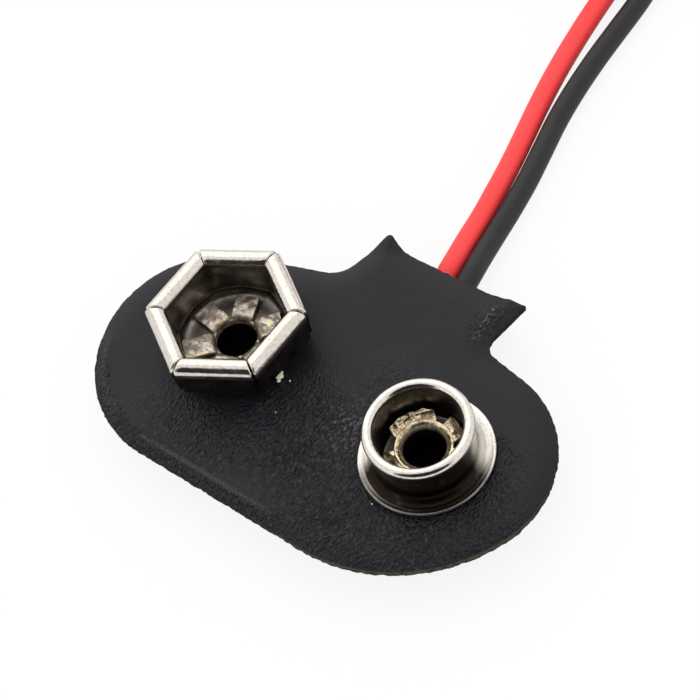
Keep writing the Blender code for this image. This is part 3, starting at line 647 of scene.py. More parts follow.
def signed_distance(points, outline):
    """Distance of points from a closed outline, by its nearest segment.

    It is negative inside, where a line to the right crosses the outline an odd number of
    times. The points are taken in batches, to keep the arrays small.
    """
    result = np.empty(len(points))
    ahead = np.roll(outline, -1, axis=0) - outline
    squared = (ahead * ahead).sum(axis=1)
    rise = np.where(ahead[:, 1] == 0, 1.0, ahead[:, 1])
    for piece in np.array_split(np.arange(len(points)), max(1, len(points) // BATCH)):
        offset = points[piece, None, :] - outline[None]
        share = np.clip((offset * ahead).sum(2) / squared, 0.0, 1.0)
        nearest = np.linalg.norm(offset - share[..., None] * ahead, axis=2).min(axis=1)
        height = points[piece, None, 1]
        crossing = (height < outline[None, :, 1]) != (height < (outline + ahead)[None, :, 1])
        meets = outline[:, 0] + (height - outline[:, 1]) * ahead[:, 0] / rise
        inside = (crossing & (points[piece, None, 0] < meets)).sum(axis=1) % 2 == 1
        result[piece] = np.where(inside, -nearest, nearest)
    return result


cover_line = rounded_outline(COVER_CORNERS, COVER_LINE_POINTS)
board_line = rounded_outline(BOARD_CORNERS, BOARD_LINE_POINTS)
print("cover", (cover_line.max(axis=0) - cover_line.min(axis=0)) / MM, "mm")

# %% [markdown]
# ## The cover's sheets
#
# The face sheet lies flat over the stiff board and is welded to the back sheet round the
# rim, where the heat has pressed both of them thin. It falls gently to the rim, and along the
# near left side it bends in a crease at the board's edge. The back sheet bulges down to make
# room for the leads and the solder. Each sheet is a closed shell: an upper surface, a thin
# cut edge and an under surface, all rows of one grid. The cut edge is a little ragged, as a
# punched vinyl edge is, and the tab's left tip curls up.

# %% Sheet surfaces
SHEET = 0.3 * MM
RIM_SHEET = 0.14 * MM
THINNED_WIDTH = 1.1 * MM
SKIN_BELOW_FACE = 0.02 * MM
EDGE_DROP = 0.5 * MM
ROLL_OFF = 1.8 * MM
CREASE_MARGIN = 0.3 * MM
SAG = 0.018 * MM
SAG_LENGTH = 9 * MM
WELD_GAP = 0.04 * MM
WELD_WIDTH = 0.35 * MM
POUCH_RUN = 1.2 * MM
MOUTH_BEYOND_TAB_MM = 8.0
TIP_CURL = 0.35 * MM
TIP_REACH = 1.5 * MM
LEFT_TIP = np.array((-3.85, 9.55)) * MM
FOLD_PLACE = np.array((4.15, 9.72)) * MM
FOLD_HEIGHT = 0.16 * MM
FOLD_REACH = 0.30 * MM
RAGGED = 0.026 * MM
DRAWN_IN = 0.03 * MM
NEAR_FROM, NEAR_RUN = -2.5 * MM, 2.5 * MM
LEFT_FROM, LEFT_RUN = 6 * MM, 5 * MM
FAN_CENTRE = np.array((0.0, 1.0)) * MM
COLUMNS = 900
SKIN_ROWS = 62


def waves(points, seed, longest, count=9):
    """A smooth unevenness from -1 to 1: a sum of sine waves in random directions."""
    chance = np.random.default_rng(seed)
    heading = chance.uniform(0, 2 * np.pi, count)
    wavelength = longest * chance.uniform(0.35, 1.0, count)
    phase = chance.uniform(0, 2 * np.pi, count)
    across = points[:, :1] * np.cos(heading) + points[:, 1:2] * np.sin(heading)
    return np.sin(2 * np.pi * across / wavelength + phase).sum(axis=1) / count


def bell(points, place, reach):
    """Nearness to a place, from 1 there down to 0: exp(-(distance / reach)^2)."""
    return np.exp(-(((points - place) / reach) ** 2).sum(axis=1))


def tip_curl(points):
    """The tab's left tip turns up like an ear, with a smooth step of the nearness to it."""
    return TIP_CURL * smooth_step(1.0 - np.linalg.norm(points - LEFT_TIP, axis=1) / TIP_REACH)


def sheet_thickness(points):
    """Full thickness inside, thinned where the two sheets are welded."""
    room = -signed_distance(points, cover_line)
    return RIM_SHEET + (SHEET - RIM_SHEET) * smooth_step(room / THINNED_WIDTH)


def near_left(points):
    """1 along the near left side, where the sheet has a sharp crease, and 0 elsewhere."""
    near = smooth_step((NEAR_FROM - points[:, 1]) / NEAR_RUN)
    return near * smooth_step((LEFT_FROM - points[:, 0]) / LEFT_RUN)


def face_height(points):
    """Upper surface of the face sheet.

    Level over the board, then down to the edge: along the near left side as a sine^1.2 of the
    way from the board to the edge, elsewhere gently, by (1 - room / roll-off)^2.2. Added are
    the curled tip, a small fold beside the right one and a slow unevenness of the soft sheet.
    """
    past = np.maximum(signed_distance(points, board_line) - CREASE_MARGIN, 0.0)
    room = np.maximum(-signed_distance(points, cover_line), 0.0)
    share = past / np.maximum(past + room, 1e-9)
    creased = near_left(points)
    gentle = np.clip(1.0 - room / ROLL_OFF, 0.0, 1.0) ** 2.2
    fall = EDGE_DROP * (gentle + creased * (np.sin(share * np.pi / 2) ** 1.2 - gentle))
    sag = SAG * waves(points, 3, SAG_LENGTH) * (1 - share)
    fold = FOLD_HEIGHT * bell(points, FOLD_PLACE, FOLD_REACH)
    return FACE_Z - SKIN_BELOW_FACE - fall + tip_curl(points) + sag + fold


def back_height(points):
    """Under surface of the back sheet: a flat bottom that rises to the welded rim.

    At the tab's end it stays low, as an open mouth for the leads, because there the rise is
    measured from an outline whose tab is longer.
    """
    rim = FACE_Z - EDGE_DROP - 2 * RIM_SHEET - WELD_GAP
    mouth = np.array(COVER_CORNERS)
    mouth[4:8, 1] += MOUTH_BEYOND_TAB_MM
    room = -signed_distance(points, rounded_outline(mouth, COVER_LINE_POINTS))
    share = smooth_step((room - WELD_WIDTH) / POUCH_RUN)
    return rim * (1.0 - share) + tip_curl(points)


def sheet_grid(height, upper, seed):
    """Rings of one sheet.

    Ray u, share g: plan point = centre + g (edge(u) - centre). Rows lie closer together near
    the edge. The skin side is finer than the hidden side, and four rows between them make the
    rounded cut edge.
    """
    edge = rounded_outline(COVER_CORNERS, COLUMNS)
    chance = np.random.default_rng(seed)
    ragged = chance.normal(0.0, 1.0, COLUMNS)
    ragged = 0.5 * ragged + 0.35 * np.roll(ragged, 1) + 0.35 * np.roll(ragged, 2)
    outward = edge - FAN_CENTRE
    outward = outward / np.linalg.norm(outward, axis=1)[:, None]
    edge = edge + outward * (RAGGED * ragged - DRAWN_IN)[:, None]
    skin = 1.0 - (1.0 - np.linspace(0.004, 1.0, SKIN_ROWS)) ** 1.5
    hidden = skin[::-4][1:]
    share = np.concatenate((skin[:-1], (0.9975, 1.0, 1.0, 0.9985), hidden))
    deep = np.concatenate((np.zeros(SKIN_ROWS - 1), (0.04, 0.3, 0.75, 0.95),
                           np.ones(len(hidden))))
    plan = FAN_CENTRE + share[:, None, None] * (edge - FAN_CENTRE)[None]
    flat = plan.reshape(-1, 2)
    top = height(flat) + (0.0 if upper else sheet_thickness(flat))
    deep = np.repeat(deep if upper else 1.0 - deep, COLUMNS)
    z = top - sheet_thickness(flat) * deep
    points = np.column_stack((flat, z)).reshape(len(share), COLUMNS, 3)
    return points[:, ::-1] if upper else points


def sheet_piece(name, height, upper, material, stands_for, seed):
    """One sheet as a closed fan grid."""
    points, faces = join_grids([sheet_grid(height, upper, seed)])
    return new_piece(name, points, faces, material, stands_for, smooth_angle=60)


def cut_round_holes(piece, places, radius, low, high, sides=48):
    """Cut a round hole at each place, with a Boolean that is applied at once."""
    angle = 2 * np.pi * np.arange(sides) / sides
    ring = np.stack((np.cos(angle), np.sin(angle)), axis=1) * radius
    grids = [np.stack([np.column_stack((ring + place, np.full(sides, z))) for z in (low, high)])
             for place in np.array(places)]
    cutter = new_object("hole_cutter", *join_grids(grids))
    cut = piece.modifiers.new("holes", "BOOLEAN")
    cut.object = cutter
    cut.solver = "EXACT"
    piece.data = bpy.data.meshes.new_from_object(piece.evaluated_get(
        bpy.context.evaluated_depsgraph_get()))
    piece.modifiers.clear()
    bpy.data.objects.remove(cutter)
    print(piece.name, "with its holes has", len(piece.data.vertices), "points")


def mesh_places(piece):
    """All points of a mesh as one array."""
    places = np.empty(3 * len(piece.data.vertices))
    piece.data.vertices.foreach_get("co", places)
    return places.reshape(-1, 3)


# %% [markdown]
# The sheets are black vinyl embossed like fine leather. Where it was pressed flat it is
# nearly smooth, and between and below the snaps, where it has been handled and stretched,
# the grain has opened into a net of tiny wavy creases. The grain is finer than a mesh should
# carry, so it is bump. How open it is at each point is worked out here and kept as a number
# with the mesh, and so are how strong a painted glint its crests carry, the scuffed streak on
# the tab, the painted highlight along the bend over the board, and the distance from the edge.
# Each oval of open grain is given by its middle, its two half widths and an amount.

# %% Marks on the cover
OPEN_GRAIN = (
    (0.4, -1.0, 2.6, 1.9, 0.80), (0.6, -3.6, 3.2, 2.4, 1.0), (4.4, -5.6, 3.6, 1.9, 1.0),
    (8.6, -4.6, 3.4, 2.0, 0.90), (-4.4, -5.4, 3.4, 1.6, 0.95), (11.0, -1.0, 1.6, 2.6, 0.55),
    (2.3, 2.2, 1.8, 2.0, 0.45), (3.95, 8.0, 0.7, 1.3, 0.8), (-2.6, -2.4, 1.6, 2.2, 0.5),
)
RING_RADIUS = 4.1
RING_WIDTH = 0.9
RING_GRAIN = 0.6
RING_ENDS_AT = 3 * MM
BACK_GRAIN = 0.35
PRESSED_FROM = 1.15 * MM
PRESSED_RUN = 0.6 * MM
GLINT_PLACE = np.array((2.1, -0.5)) * MM
GLINT_REACH = np.array((1.5, 1.9)) * MM
# a painted highlight runs along this line, where the sheet bends over the board
CREASE_START = np.array((-7.2, -7.02)) * MM
CREASE_END = np.array((1.4, -6.80)) * MM
CREASE_WIDTH = 0.10 * MM
SCUFF_START = np.array((3.82, 8.90)) * MM
SCUFF_END = np.array((4.08, 6.9)) * MM
SCUFF_WIDTH = 0.17 * MM


def line_distance(points, start, end):
    """Distance from a straight line between two places, and the share of the way along it."""
    ahead = end - start
    share = np.clip(((points - start) @ ahead) / (ahead @ ahead), 0.0, 1.0)
    return np.linalg.norm(points - start - share[:, None] * ahead, axis=1), share


def open_grain(points):
    """How open the grain is: the largest of several oval bells and of a ring round the stud.

    The ring is a bell of the distance from its radius, and stops short of the far side.
    """
    bells = [amount * bell(points, np.array((x, y)) * MM, np.array((wide, high)) * MM)
             for x, y, wide, high, amount in OPEN_GRAIN]
    from_stud = np.hypot(points[:, 0] - STUD_X, points[:, 1]) / MM
    ring = RING_GRAIN * np.exp(-((from_stud - RING_RADIUS) / RING_WIDTH) ** 2)
    ring = ring * (points[:, 1] < RING_ENDS_AT)
    return np.maximum(np.max(bells, axis=0), ring)


def mark_cover(piece, face=True):
    """Work the marks out for every point of a sheet and keep them with its mesh.

    Along the near left side the grain is also open in the band that is pressed to the rim.
    The crease fades at both ends by a sine, and the scuff along its length. The back sheet
    has an even grain and no marks.
    """
    plan = mesh_places(piece)[:, :2]
    outside = signed_distance(plan, cover_line)
    pressed = near_left(plan) * smooth_step((outside + PRESSED_FROM) / PRESSED_RUN)
    grain = np.maximum(open_grain(plan), 0.9 * pressed)
    # painted glint on the grain crests, strongest between the snaps
    wear_and_glint = grain * (0.35 + 1.3 * bell(plan, GLINT_PLACE, GLINT_REACH))
    from_crease, share = line_distance(plan, CREASE_START, CREASE_END)
    crease = np.exp(-(from_crease / CREASE_WIDTH) ** 2)
    crease = crease * np.sin(np.pi * (0.1 + 0.8 * share)) ** 0.5
    from_scuff, share = line_distance(plan, SCUFF_START, SCUFF_END)
    scuff = np.exp(-(from_scuff / SCUFF_WIDTH) ** 2) * (1.0 - 0.6 * share)
    keep_number(piece, "from_edge", -outside / MM)
    keep_number(piece, "grain", grain if face else np.full(len(plan), BACK_GRAIN))
    for name, values in (("wear_and_glint", wear_and_glint), ("crease", crease), ("scuff", scuff)):
        keep_number(piece, name, values if face else np.zeros(len(plan)))


# %% [markdown]
# The grain itself is the distance to the borders of Voronoi cells, pushed about by noise and
# stretched a little along the tab, mixed with finer noise. It is added to a softer
# unevenness. The crests carry a painted glint, and a painted highlight runs along the bend
# over the board; scuffs are paler than the rest. The punched edge shows the backing of the
# vinyl: nearly black, and a thin olive line at the near right.

# %% Cover finish
def cover_finish(name, base, deeper, gloss, least_grain):
    """Embossed vinyl: grain as bump, patchy gloss, pale scuffs, painted highlights on the crests
    and along the bend, and the backing at the edge.
    """
    finish = Finish(name, IOR=1.41)
    open_share = least_grain + (1.0 - least_grain) * finish.kept("grain")
    crease = finish.kept("crease")
    pebble = finish.cells(0.22 * MM, finish.warped(0.6 * MM, 0.25 * MM, (1.0, 0.55, 1.0)),
                          feature="DISTANCE_TO_EDGE").between(0.0, 0.34)
    fine = finish.noise(0.13 * MM, 4.0, finish.place((1.0, 0.6, 1.0)))
    soft = finish.noise(1.1 * MM, 3.0, finish.place((1.0, 0.8, 1.0)))
    grain = (0.6 * pebble + fine) * open_share * (1.0 - 0.8 * crease)
    flecks = finish.noise(0.17 * MM, 3.0, finish.place((1.0, 0.6, 1.0))).between(0.50, 0.62)
    crest = finish.kept("wear_and_glint") * fine.between(0.52, 0.64)
    scuff = finish.kept("scuff") * flecks
    normal = finish.bump(soft * (0.2 + 0.8 * open_share), 0.18 * MM)
    finish.feed("Normal", finish.bump(grain + 0.3 * scuff, 0.14 * MM, normal))
    rim = 1.0 - finish.kept("from_edge").between(0.015, 0.11)
    right = finish.along_axis("X").between(-1 * MM, 7 * MM)
    far = finish.along_axis("Y").between(-2 * MM, 4 * MM)
    backing = finish.mix(right * (1.0 - far), rgb(0.006, 0.005, 0.004), rgb(0.075, 0.060, 0.034))
    colour = finish.mix(fine, base, deeper)
    # painted highlight along the bend over the board
    colour = finish.mix(crease * (0.35 + 0.5 * fine), colour, rgb(0.055, 0.055, 0.060))
    # painted glint on the grain crests
    colour = finish.mix(crest, colour, rgb(0.082, 0.082, 0.090))
    colour = finish.mix(scuff * 0.8, colour, rgb(0.18, 0.18, 0.20))
    finish.feed("Base Color", finish.mix(rim * 0.85, colour, backing))
    patch = finish.noise(4.0 * MM, 2.0)
    finish.feed("Roughness", gloss + 0.10 * patch - 0.12 * open_share + 0.3 * rim)
    return finish.material


face_vinyl = cover_finish("face vinyl", rgb(0.0058, 0.0050, 0.0092),
                          rgb(0.0034, 0.0030, 0.0056), gloss=0.44, least_grain=0.03)
back_vinyl = cover_finish("back vinyl", rgb(0.0075, 0.0070, 0.0095),
                          rgb(0.0045, 0.0042, 0.0058), gloss=0.48, least_grain=0.10)
face_skin = sheet_piece("face_sheet", face_height, True, face_vinyl,
                        ("front_cover",), seed=11)
cut_round_holes(face_skin, ((SOCKET_X, 0.0), (STUD_X, 0.0)), radius=1.40 * MM,
                low=2 * MM, high=4.5 * MM)
mark_cover(face_skin)
back_skin = sheet_piece("back_sheet", back_height, False, back_vinyl,
                        ("back_cover",), seed=12)
mark_cover(back_skin, face=False)

# %% [markdown]
# ## Plated metal
#
# The snaps are drawn brass sheet with a bright nickel plate. Nickel is a warm grey mirror.
# What makes it real is what lies on it: hazy patches that blur the reflection, small warmer
# smears, pin-prick pits, and brown tarnish that gathers in the hollows. The socket's flaps and
# the stud's neck and flange are painted dark as shade. A number kept with the mesh says how
# much tarnish and painted shade each point has.

# %% Nickel finish
def nickel_finish(name, bright, warm, tarnish, haze):
    """Nickel plate: haze drives roughness, tarnish and painted shade darken the metal, smears and
    pits bump.
    """
    finish = Finish(name, Metallic=1.0)
    cloud = finish.noise(0.9 * MM, 4.0)
    smear = finish.noise(0.22 * MM, 5.0)
    speck = 1.0 - finish.cells(0.17 * MM).between(0.10, 0.22)
    spots = speck * finish.noise(0.9 * MM, 2.0).between(0.50, 0.62)
    # real tarnish in the hollows, and painted shade on the flaps and the stud's neck and flange
    tarnish_and_shade = finish.kept("tarnish_and_shade")
    stain_and_shade = (tarnish_and_shade * (0.72 + 0.5 * cloud)).most(spots * 0.8)
    plate = finish.mix(smear.between(0.35, 0.7), bright, warm)
    finish.feed("Base Color", finish.mix(stain_and_shade, plate, tarnish))
    finish.feed("Roughness", haze + 0.10 * cloud.between(0.40, 0.72) + 0.08 * smear + 0.20 * stain_and_shade)
    finish.feed("Normal", finish.bump(smear * 0.7 + spots * 0.5, 0.012 * MM))
    return finish.material


socket_nickel = nickel_finish("socket nickel", rgb(0.86, 0.805, 0.73), rgb(0.76, 0.69, 0.61),
                              rgb(0.030, 0.022, 0.018), haze=0.09)
stud_nickel = nickel_finish("stud nickel", rgb(0.88, 0.835, 0.775), rgb(0.79, 0.73, 0.65),
                            rgb(0.022, 0.015, 0.011), haze=0.07)
print("plate:", socket_nickel.name, stud_nickel.name)

# %% [markdown]
# ## A strip of sheet metal
#
# Leaves and petals are strips: sheet metal of even thickness that follows a profile up from
# the rivet and over. A strip is a rounded rectangle carried along its profile. The strip may
# be bent round the axis, as at the foot of a cup, or flat, as at the top of a hexagon, and
# anything between. It is worked out standing in front of the axis, and then turned into
# place. Profiles are in millimetres, as radius from the axis and height above the face.

# %% Strips
CORNER_STEPS = 3
LEAVES = 6
SECTOR = 2 * math.pi / LEAVES


def section_loop(across):
    """A rounded rectangle as (share across, rounding across, level, rounding in depth).

    It runs along one face, round the edge, back along the other face and round again.
    """
    share = np.linspace(-1.0, 1.0, across)
    turn = np.linspace(0.0, np.pi, 2 * CORNER_STEPS + 1)[1:-1]
    level = np.where(turn < np.pi / 2 + 1e-6, 1.0, -1.0)
    flat = np.zeros(across)
    one = np.ones(across)
    bend = np.ones(len(turn))
    front = np.stack((share, flat, one, one), axis=1)
    right = np.stack((bend, np.sin(turn), level, np.cos(turn)), axis=1)
    back = np.stack((-share, flat, -one, -one), axis=1)
    left = np.stack((-bend, -np.sin(turn), -level, -np.cos(turn)), axis=1)
    return np.concatenate((front, right, back, left))


def profile_normal(radius, height):
    """Unit normal of a profile in its own plane: the step (dr, dz) turned to (dz, -dr)."""
    dr = np.gradient(radius)
    dz = np.gradient(height)
    size = np.hypot(dr, dz)
    return dz / size, -dr / size


def strip_points(rows, thickness, turn, x, join_angle=0.0, across=13, crumple=None):
    """Rings of one strip, in metres.

    Each row gives radius, height, flatness, half width, corner radius and how far the strip
    is joined to its neighbours. Side s across the strip lies at angle s / radius when it is
    bent, and straight out when flat. Depth goes along the profile's normal, which leans
    towards the neighbour near a side that is joined to it.
    """
    radius, height, flat, half, corner, joined = np.asarray(rows).T[:, :, None]
    share, bulge, level, rise = section_loop(across).T[:, None, :]
    side = (half - corner) * share + corner * bulge
    depth = (thickness / 2 - corner) * level + corner * rise
    out_r, out_z = profile_normal(radius[:, 0], height[:, 0])
    angle = side / radius
    joint = joined * flat * join_angle * np.sign(side) * np.abs(side / half) ** 9
    lean = (1 - flat) * angle + joint
    plan_depth = depth * out_r[:, None]
    out = radius * ((1 - flat) * np.cos(angle) + flat) + plan_depth * np.cos(lean)
    sideways = (1 - flat) * radius * np.sin(angle) + flat * side + plan_depth * np.sin(lean)
    points = np.stack((out, sideways, height + depth * out_z[:, None]), axis=-1)
    if crumple is not None:
        points = points + crumple(points)
    out, sideways, up = np.moveaxis(points, -1, 0)
    turned = np.stack((out * math.cos(turn) - sideways * math.sin(turn),
                       out * math.sin(turn) + sideways * math.cos(turn), up), axis=-1)
    return np.array((x, 0.0, FACE_Z)) + turned * MM


def thick_profile(line, thickness):
    """Closed outline of a sheet's profile: one side, a round end, the other side, an end."""
    out_r, out_z = profile_normal(line[:, 0], line[:, 1])
    normal = np.stack((out_r, out_z), axis=1) * thickness / 2
    tangent = np.stack((-normal[:, 1], normal[:, 0]), axis=1)
    turn = np.radians((30, 60, 90, 120, 150))[:, None]
    last_end = line[-1] + np.cos(turn) * normal[-1] + np.sin(turn) * tangent[-1]
    first_end = line[0] - np.cos(turn) * normal[0] - np.sin(turn) * tangent[0]
    return np.concatenate((line + normal, last_end, (line - normal)[::-1], first_end))


def turned_rings(outline, columns, x, flatness=0.0):
    """A closed profile turned about the axis: x = r cos a, y = r sin a, height from the face.

    With a flatness f the circle becomes partly a hexagon: r ((1 - f) + f / cos b), where b is
    the angle from the middle of its side.
    """
    angle = 2 * np.pi * np.arange(columns) / columns
    from_middle = (angle + SECTOR / 2) % SECTOR - SECTOR / 2
    flat = np.broadcast_to(flatness, (len(outline),))[:, None]
    reach = outline[:, :1] * ((1 - flat) + flat / np.cos(from_middle))
    return np.stack((x + reach * np.cos(angle) * MM, reach * np.sin(angle) * MM,
                     np.broadcast_to(FACE_Z + outline[:, 1:] * MM, reach.shape)), axis=-1)


print("a strip's section has", len(section_loop(13)), "points")

# %% [markdown]
# ## The socket
#
# The socket is a cup whose wall rises from round to hexagonal and is slit into six leaves.
# Each leaf rolls over outwards and hangs down again as a flap. The cup's floor and the foot
# of its wall are one turned shell. From there up each leaf is a strip of its own: joined to
# its neighbours at the foot, and free above, so that the dark mitred slits between the leaves
# come from the shape itself. The roll stays bright, while the cup is tarnished and the flaps
# below it are painted near black as shade.

# %% Socket
SOCKET_SHEET = 0.25
SHARP_ANGLE = 40
CUP_COLUMNS = 144
CURL_CENTRE = (3.28, 2.73)
CURL_RADIUS = 0.40
CURL_ROWS = 25
LEAF_CORNER = 0.085
CUP_STAIN = 0.80
WALL_STAIN = 0.82
# painted shade: the flaps face down towards the black cover
FLAP_PAINTED_SHADE = 0.97
LEAF_END_TARNISH_AND_SHADE = (0.9, 0.5)
CUP_PROFILE = (
    (1.40, 0.225, 0.00), (1.90, 0.225, 0.00), (2.40, 0.225, 0.00), (2.74, 0.315, 0.03),
    (2.95, 0.575, 0.10), (3.01, 0.950, 0.28),
)
LEAF_WALL = (
    (3.01, 0.90, 0.26, 0.0), (3.01, 1.00, 0.30, 0.0), (3.005, 1.18, 0.42, -0.004),
    (2.99, 1.50, 0.66, -0.004), (2.94, 1.90, 0.92, 0.0), (2.89, 2.30, 1.0, 0.01),
)
LEAF_FLAP = (
    (3.675, 2.45, 1.0, 0.060), (3.65, 2.20, 1.0, 0.065), (3.61, 1.80, 1.0, 0.070),
    (3.59, 1.40, 1.0, 0.075), (3.58, 1.04, 1.0, 0.080), (3.58, 1.00, 1.0, 0.110),
)


def leaf_rows():
    """A leaf's profile: the wall, a half circle for the roll, and the flap.

    The tables give radius, height, flatness and the gap at each side. A leaf is as wide as
    its sixth of the circle or hexagon, less the gap, and comes loose above the foot.
    """
    turn = np.radians(np.linspace(180, 0, CURL_ROWS))
    roll = np.stack((CURL_CENTRE[0] + CURL_RADIUS * np.cos(turn),
                     CURL_CENTRE[1] + CURL_RADIUS * np.sin(turn),
                     np.ones(CURL_ROWS), np.linspace(0.02, 0.055, CURL_ROWS)), axis=1)
    rows = np.concatenate((smooth_rows(LEAF_WALL, 4), roll, smooth_rows(LEAF_FLAP, 3)))
    radius, height, flat, gap = rows.T
    half = radius * ((1 - flat) * SECTOR / 2 + flat * math.tan(SECTOR / 2)) - gap
    loose = smooth_step((height - 0.95) / 0.3)
    loose[len(rows) // 3:] = 1.0
    half = half + 0.004 * (1 - loose)
    return np.stack((radius, height, flat, half, LEAF_CORNER * loose, 1 - loose), axis=1)


def leaf_tarnish_and_shade(rows):
    """Tarnish by row down in the wall, painted shade on the flap, and none on the roll."""
    height = rows[:, 1]
    wall = np.arange(len(rows)) < np.argmax(height)
    inside = WALL_STAIN * (1.0 - smooth_step((height - 2.82) / 0.20))
    # painted shade on the flap
    outside = FLAP_PAINTED_SHADE * (1.0 - smooth_step((height - 2.66) / 0.14))
    return np.where(wall, inside, outside)


def socket_piece():
    """The cup's shell and six leaves as one piece."""
    outline = thick_profile(smooth_rows(CUP_PROFILE, 6)[:, :2], SOCKET_SHEET)
    flatness = np.interp(outline[:, 1], (0.3, 0.575, 0.95, 1.1), (0.0, 0.10, 0.28, 0.30))
    flatness = flatness * (outline[:, 0] > 2.6)
    cup = turned_rings(outline, CUP_COLUMNS, SOCKET_X, flatness)
    rows = leaf_rows()
    leaves = [strip_points(rows, SOCKET_SHEET, SECTOR * k, SOCKET_X, SECTOR / 2)
              for k in range(LEAVES)]
    points, faces = join_grids(leaves)
    cup_faces = grid_faces(len(outline), CUP_COLUMNS, len(points), rows_close=True)
    piece = new_piece("socket_leaves", np.concatenate((points, cup.reshape(-1, 3))),
                      (*faces, cup_faces), socket_nickel,
                      ("socket_contact",), SHARP_ANGLE)
    strip = np.repeat(leaf_tarnish_and_shade(rows), leaves[0].shape[1])
    leaf = np.concatenate((strip, LEAF_END_TARNISH_AND_SHADE))
    stain_and_shade = np.concatenate((*[leaf] * LEAVES, np.full(len(outline) * CUP_COLUMNS, CUP_STAIN)))
    keep_number(piece, "tarnish_and_shade", stain_and_shade)


socket_piece()

# %% [markdown]
# ## The stud
#
# The stud is drawn from one thin sheet: a flat flange, a waist, a bead rolled over at the top
# and an inner cup down to the rivet. It is its profile turned about the axis. Its bead stays
# bright, while the cup is tarnished brown, and the neck and flange carry painted shade, most
# on the near side, where they mirror the black cover.

# %% Stud
STUD_SHEET = 0.18
STUD_COLUMNS = 160
DARK_REFLECTION_SIDE = math.radians(-58)
STUD_CUP_STAIN = 0.84
LIP_PAINTED_SHADE = 0.72


def arc(centre_r, centre_z, radius, first, last, count):
    """Points of a circular arc in the profile's plane."""
    angle = np.radians(np.linspace(first, last, count))
    return np.stack((centre_r + radius * np.cos(angle), centre_z + radius * np.sin(angle)), axis=1)


def stud_profile():
    """Middle line of the sheet, as radius and height above the face.

    It runs along the cup's floor, up its wall, over the bead, down the neck and out along
    the flange.
    """
    return np.concatenate((
        ((1.40, 0.19), (1.75, 0.19), (2.07, 0.19)),
        arc(2.07, 0.49, 0.3, -90, 0, 7)[1:],
        ((2.37, 1.0), (2.37, 1.6), (2.37, 2.2), (2.37, 2.6)),
        arc(2.57, 2.72, 0.2, 180, -25, 24),
        ((2.65, 2.52), (2.615, 2.38), (2.60, 2.20), (2.60, 1.6), (2.60, 1.1), (2.60, 0.82)),
        arc(3.18, 0.77, 0.58, 180, 270, 14),
        ((3.28, 0.192), (3.37, 0.205), (3.45, 0.235)),
    ))


def stud_tarnish_and_shade(outline):
    """Tarnish by point inside the cup, and painted shade on the neck and flange, most on the near
    side, where they mirror the black cover.

    That side is a smooth step of the cosine of the angle from its middle.
    """
    radius, height = outline.T[:, :, None]
    turn = 2 * np.pi * np.arange(STUD_COLUMNS)[None, :] / STUD_COLUMNS
    near_side = smooth_step((np.cos(turn - DARK_REFLECTION_SIDE) + 0.05) / 0.5)
    inside = STUD_CUP_STAIN * (radius < 2.50) * (1.0 - smooth_step((height - 2.80) / 0.12))
    low = (radius > 2.5) * (1.0 - smooth_step((height - 2.35) / 0.15))
    # painted shade: the neck and flange mirror the black cover, most on the near side
    neck = low * (1.0 - smooth_step((radius - 3.22) / 0.12)) * (0.25 + 0.85 * near_side)
    lip = LIP_PAINTED_SHADE * low * near_side ** 2
    return np.maximum(np.maximum(inside, neck), lip).reshape(-1)


def stud_piece():
    """The closed profile turned about the stud's axis."""
    outline = thick_profile(stud_profile(), STUD_SHEET)
    points = turned_rings(outline, STUD_COLUMNS, STUD_X)
    faces = grid_faces(len(outline), STUD_COLUMNS, rows_close=True)
    piece = new_piece("stud_shell", points, (faces,), stud_nickel,
                      ("stud_contact",), SHARP_ANGLE)
    keep_number(piece, "tarnish_and_shade", stud_tarnish_and_shade(outline))


stud_piece()

# %% [markdown]
# ## The rivets
#
# A hollow brass rivet holds each snap. Its barrel comes up through the snap's hole and has
# been split by the riveting tool. In the socket the petals lie flat like the tabs of a
# flower, dull and mottled, with raw golden edges. In the stud they have torn unevenly and
# stand up, crumpled and bright. Petals are strips like the leaves, and sine waves crumple
# them. A plug closes the barrel far down, where the solder and its flux are, and the bore
# is painted black as shade from just below its rim.

# %% Rivets
BARREL_RADIUS = 1.2
BARREL_WALL = 0.2
BARREL_COLUMNS = 96
HEAD_RADIUS = 2.1
HEAD_HEIGHT = -1.7
PLUG = ((1.09, -1.45), (1.09, -1.3))
DARK_BELOW_RIM = 0.22
SOCKET_PETAL_TURN = math.radians(52)
SOCKET_PETAL_REACH = (0.0, -0.10, 0.05, 0.24, 0.0, 0.08)
STUD_PETALS = ((102, 197), (222, 270), (283, 335), (348, 388), (400, 448))
STUD_PETAL_SHEET = 0.17
SOCKET_PETAL_CORNER = 0.05
STUD_PETAL_CORNER = 0.06
STUD_PETAL_TAPER = 0.18
SOCKET_FLARE = (
    (1.20, 0.24, 0.0, 0.60), (1.205, 0.34, 0.3, 0.60), (1.27, 0.46, 0.8, 0.61),
    (1.42, 0.53, 1.0, 0.62), (1.70, 0.56, 1.0, 0.63), (2.10, 0.57, 1.0, 0.64),
    (2.48, 0.57, 1.0, 0.64), (2.53, 0.57, 1.0, 0.62),
)
STUD_FLARE = (
    (1.20, 0.50), (1.20, 0.66), (1.24, 0.80), (1.34, 0.93), (1.52, 1.02), (1.72, 1.10),
    (1.90, 1.22), (1.97, 1.28),
)
STUD_RIM = (*STUD_FLARE[1:4], (1.46, 1.0))


def crumpled(seed, amount, longest):
    """A push for each point: waves along and across the strip, stronger away from the axis."""
    def push(points):
        flat = points.reshape(-1, 3)[:, :2]
        grown = smooth_step((flat[:, 0] - 1.15) / 0.5)
        lift = amount * grown * waves(flat, seed, longest)
        slide = 0.6 * amount * grown * waves(flat, seed + 50, longest)
        return np.stack((np.zeros_like(lift), slide, lift), axis=1).reshape(points.shape)
    return push


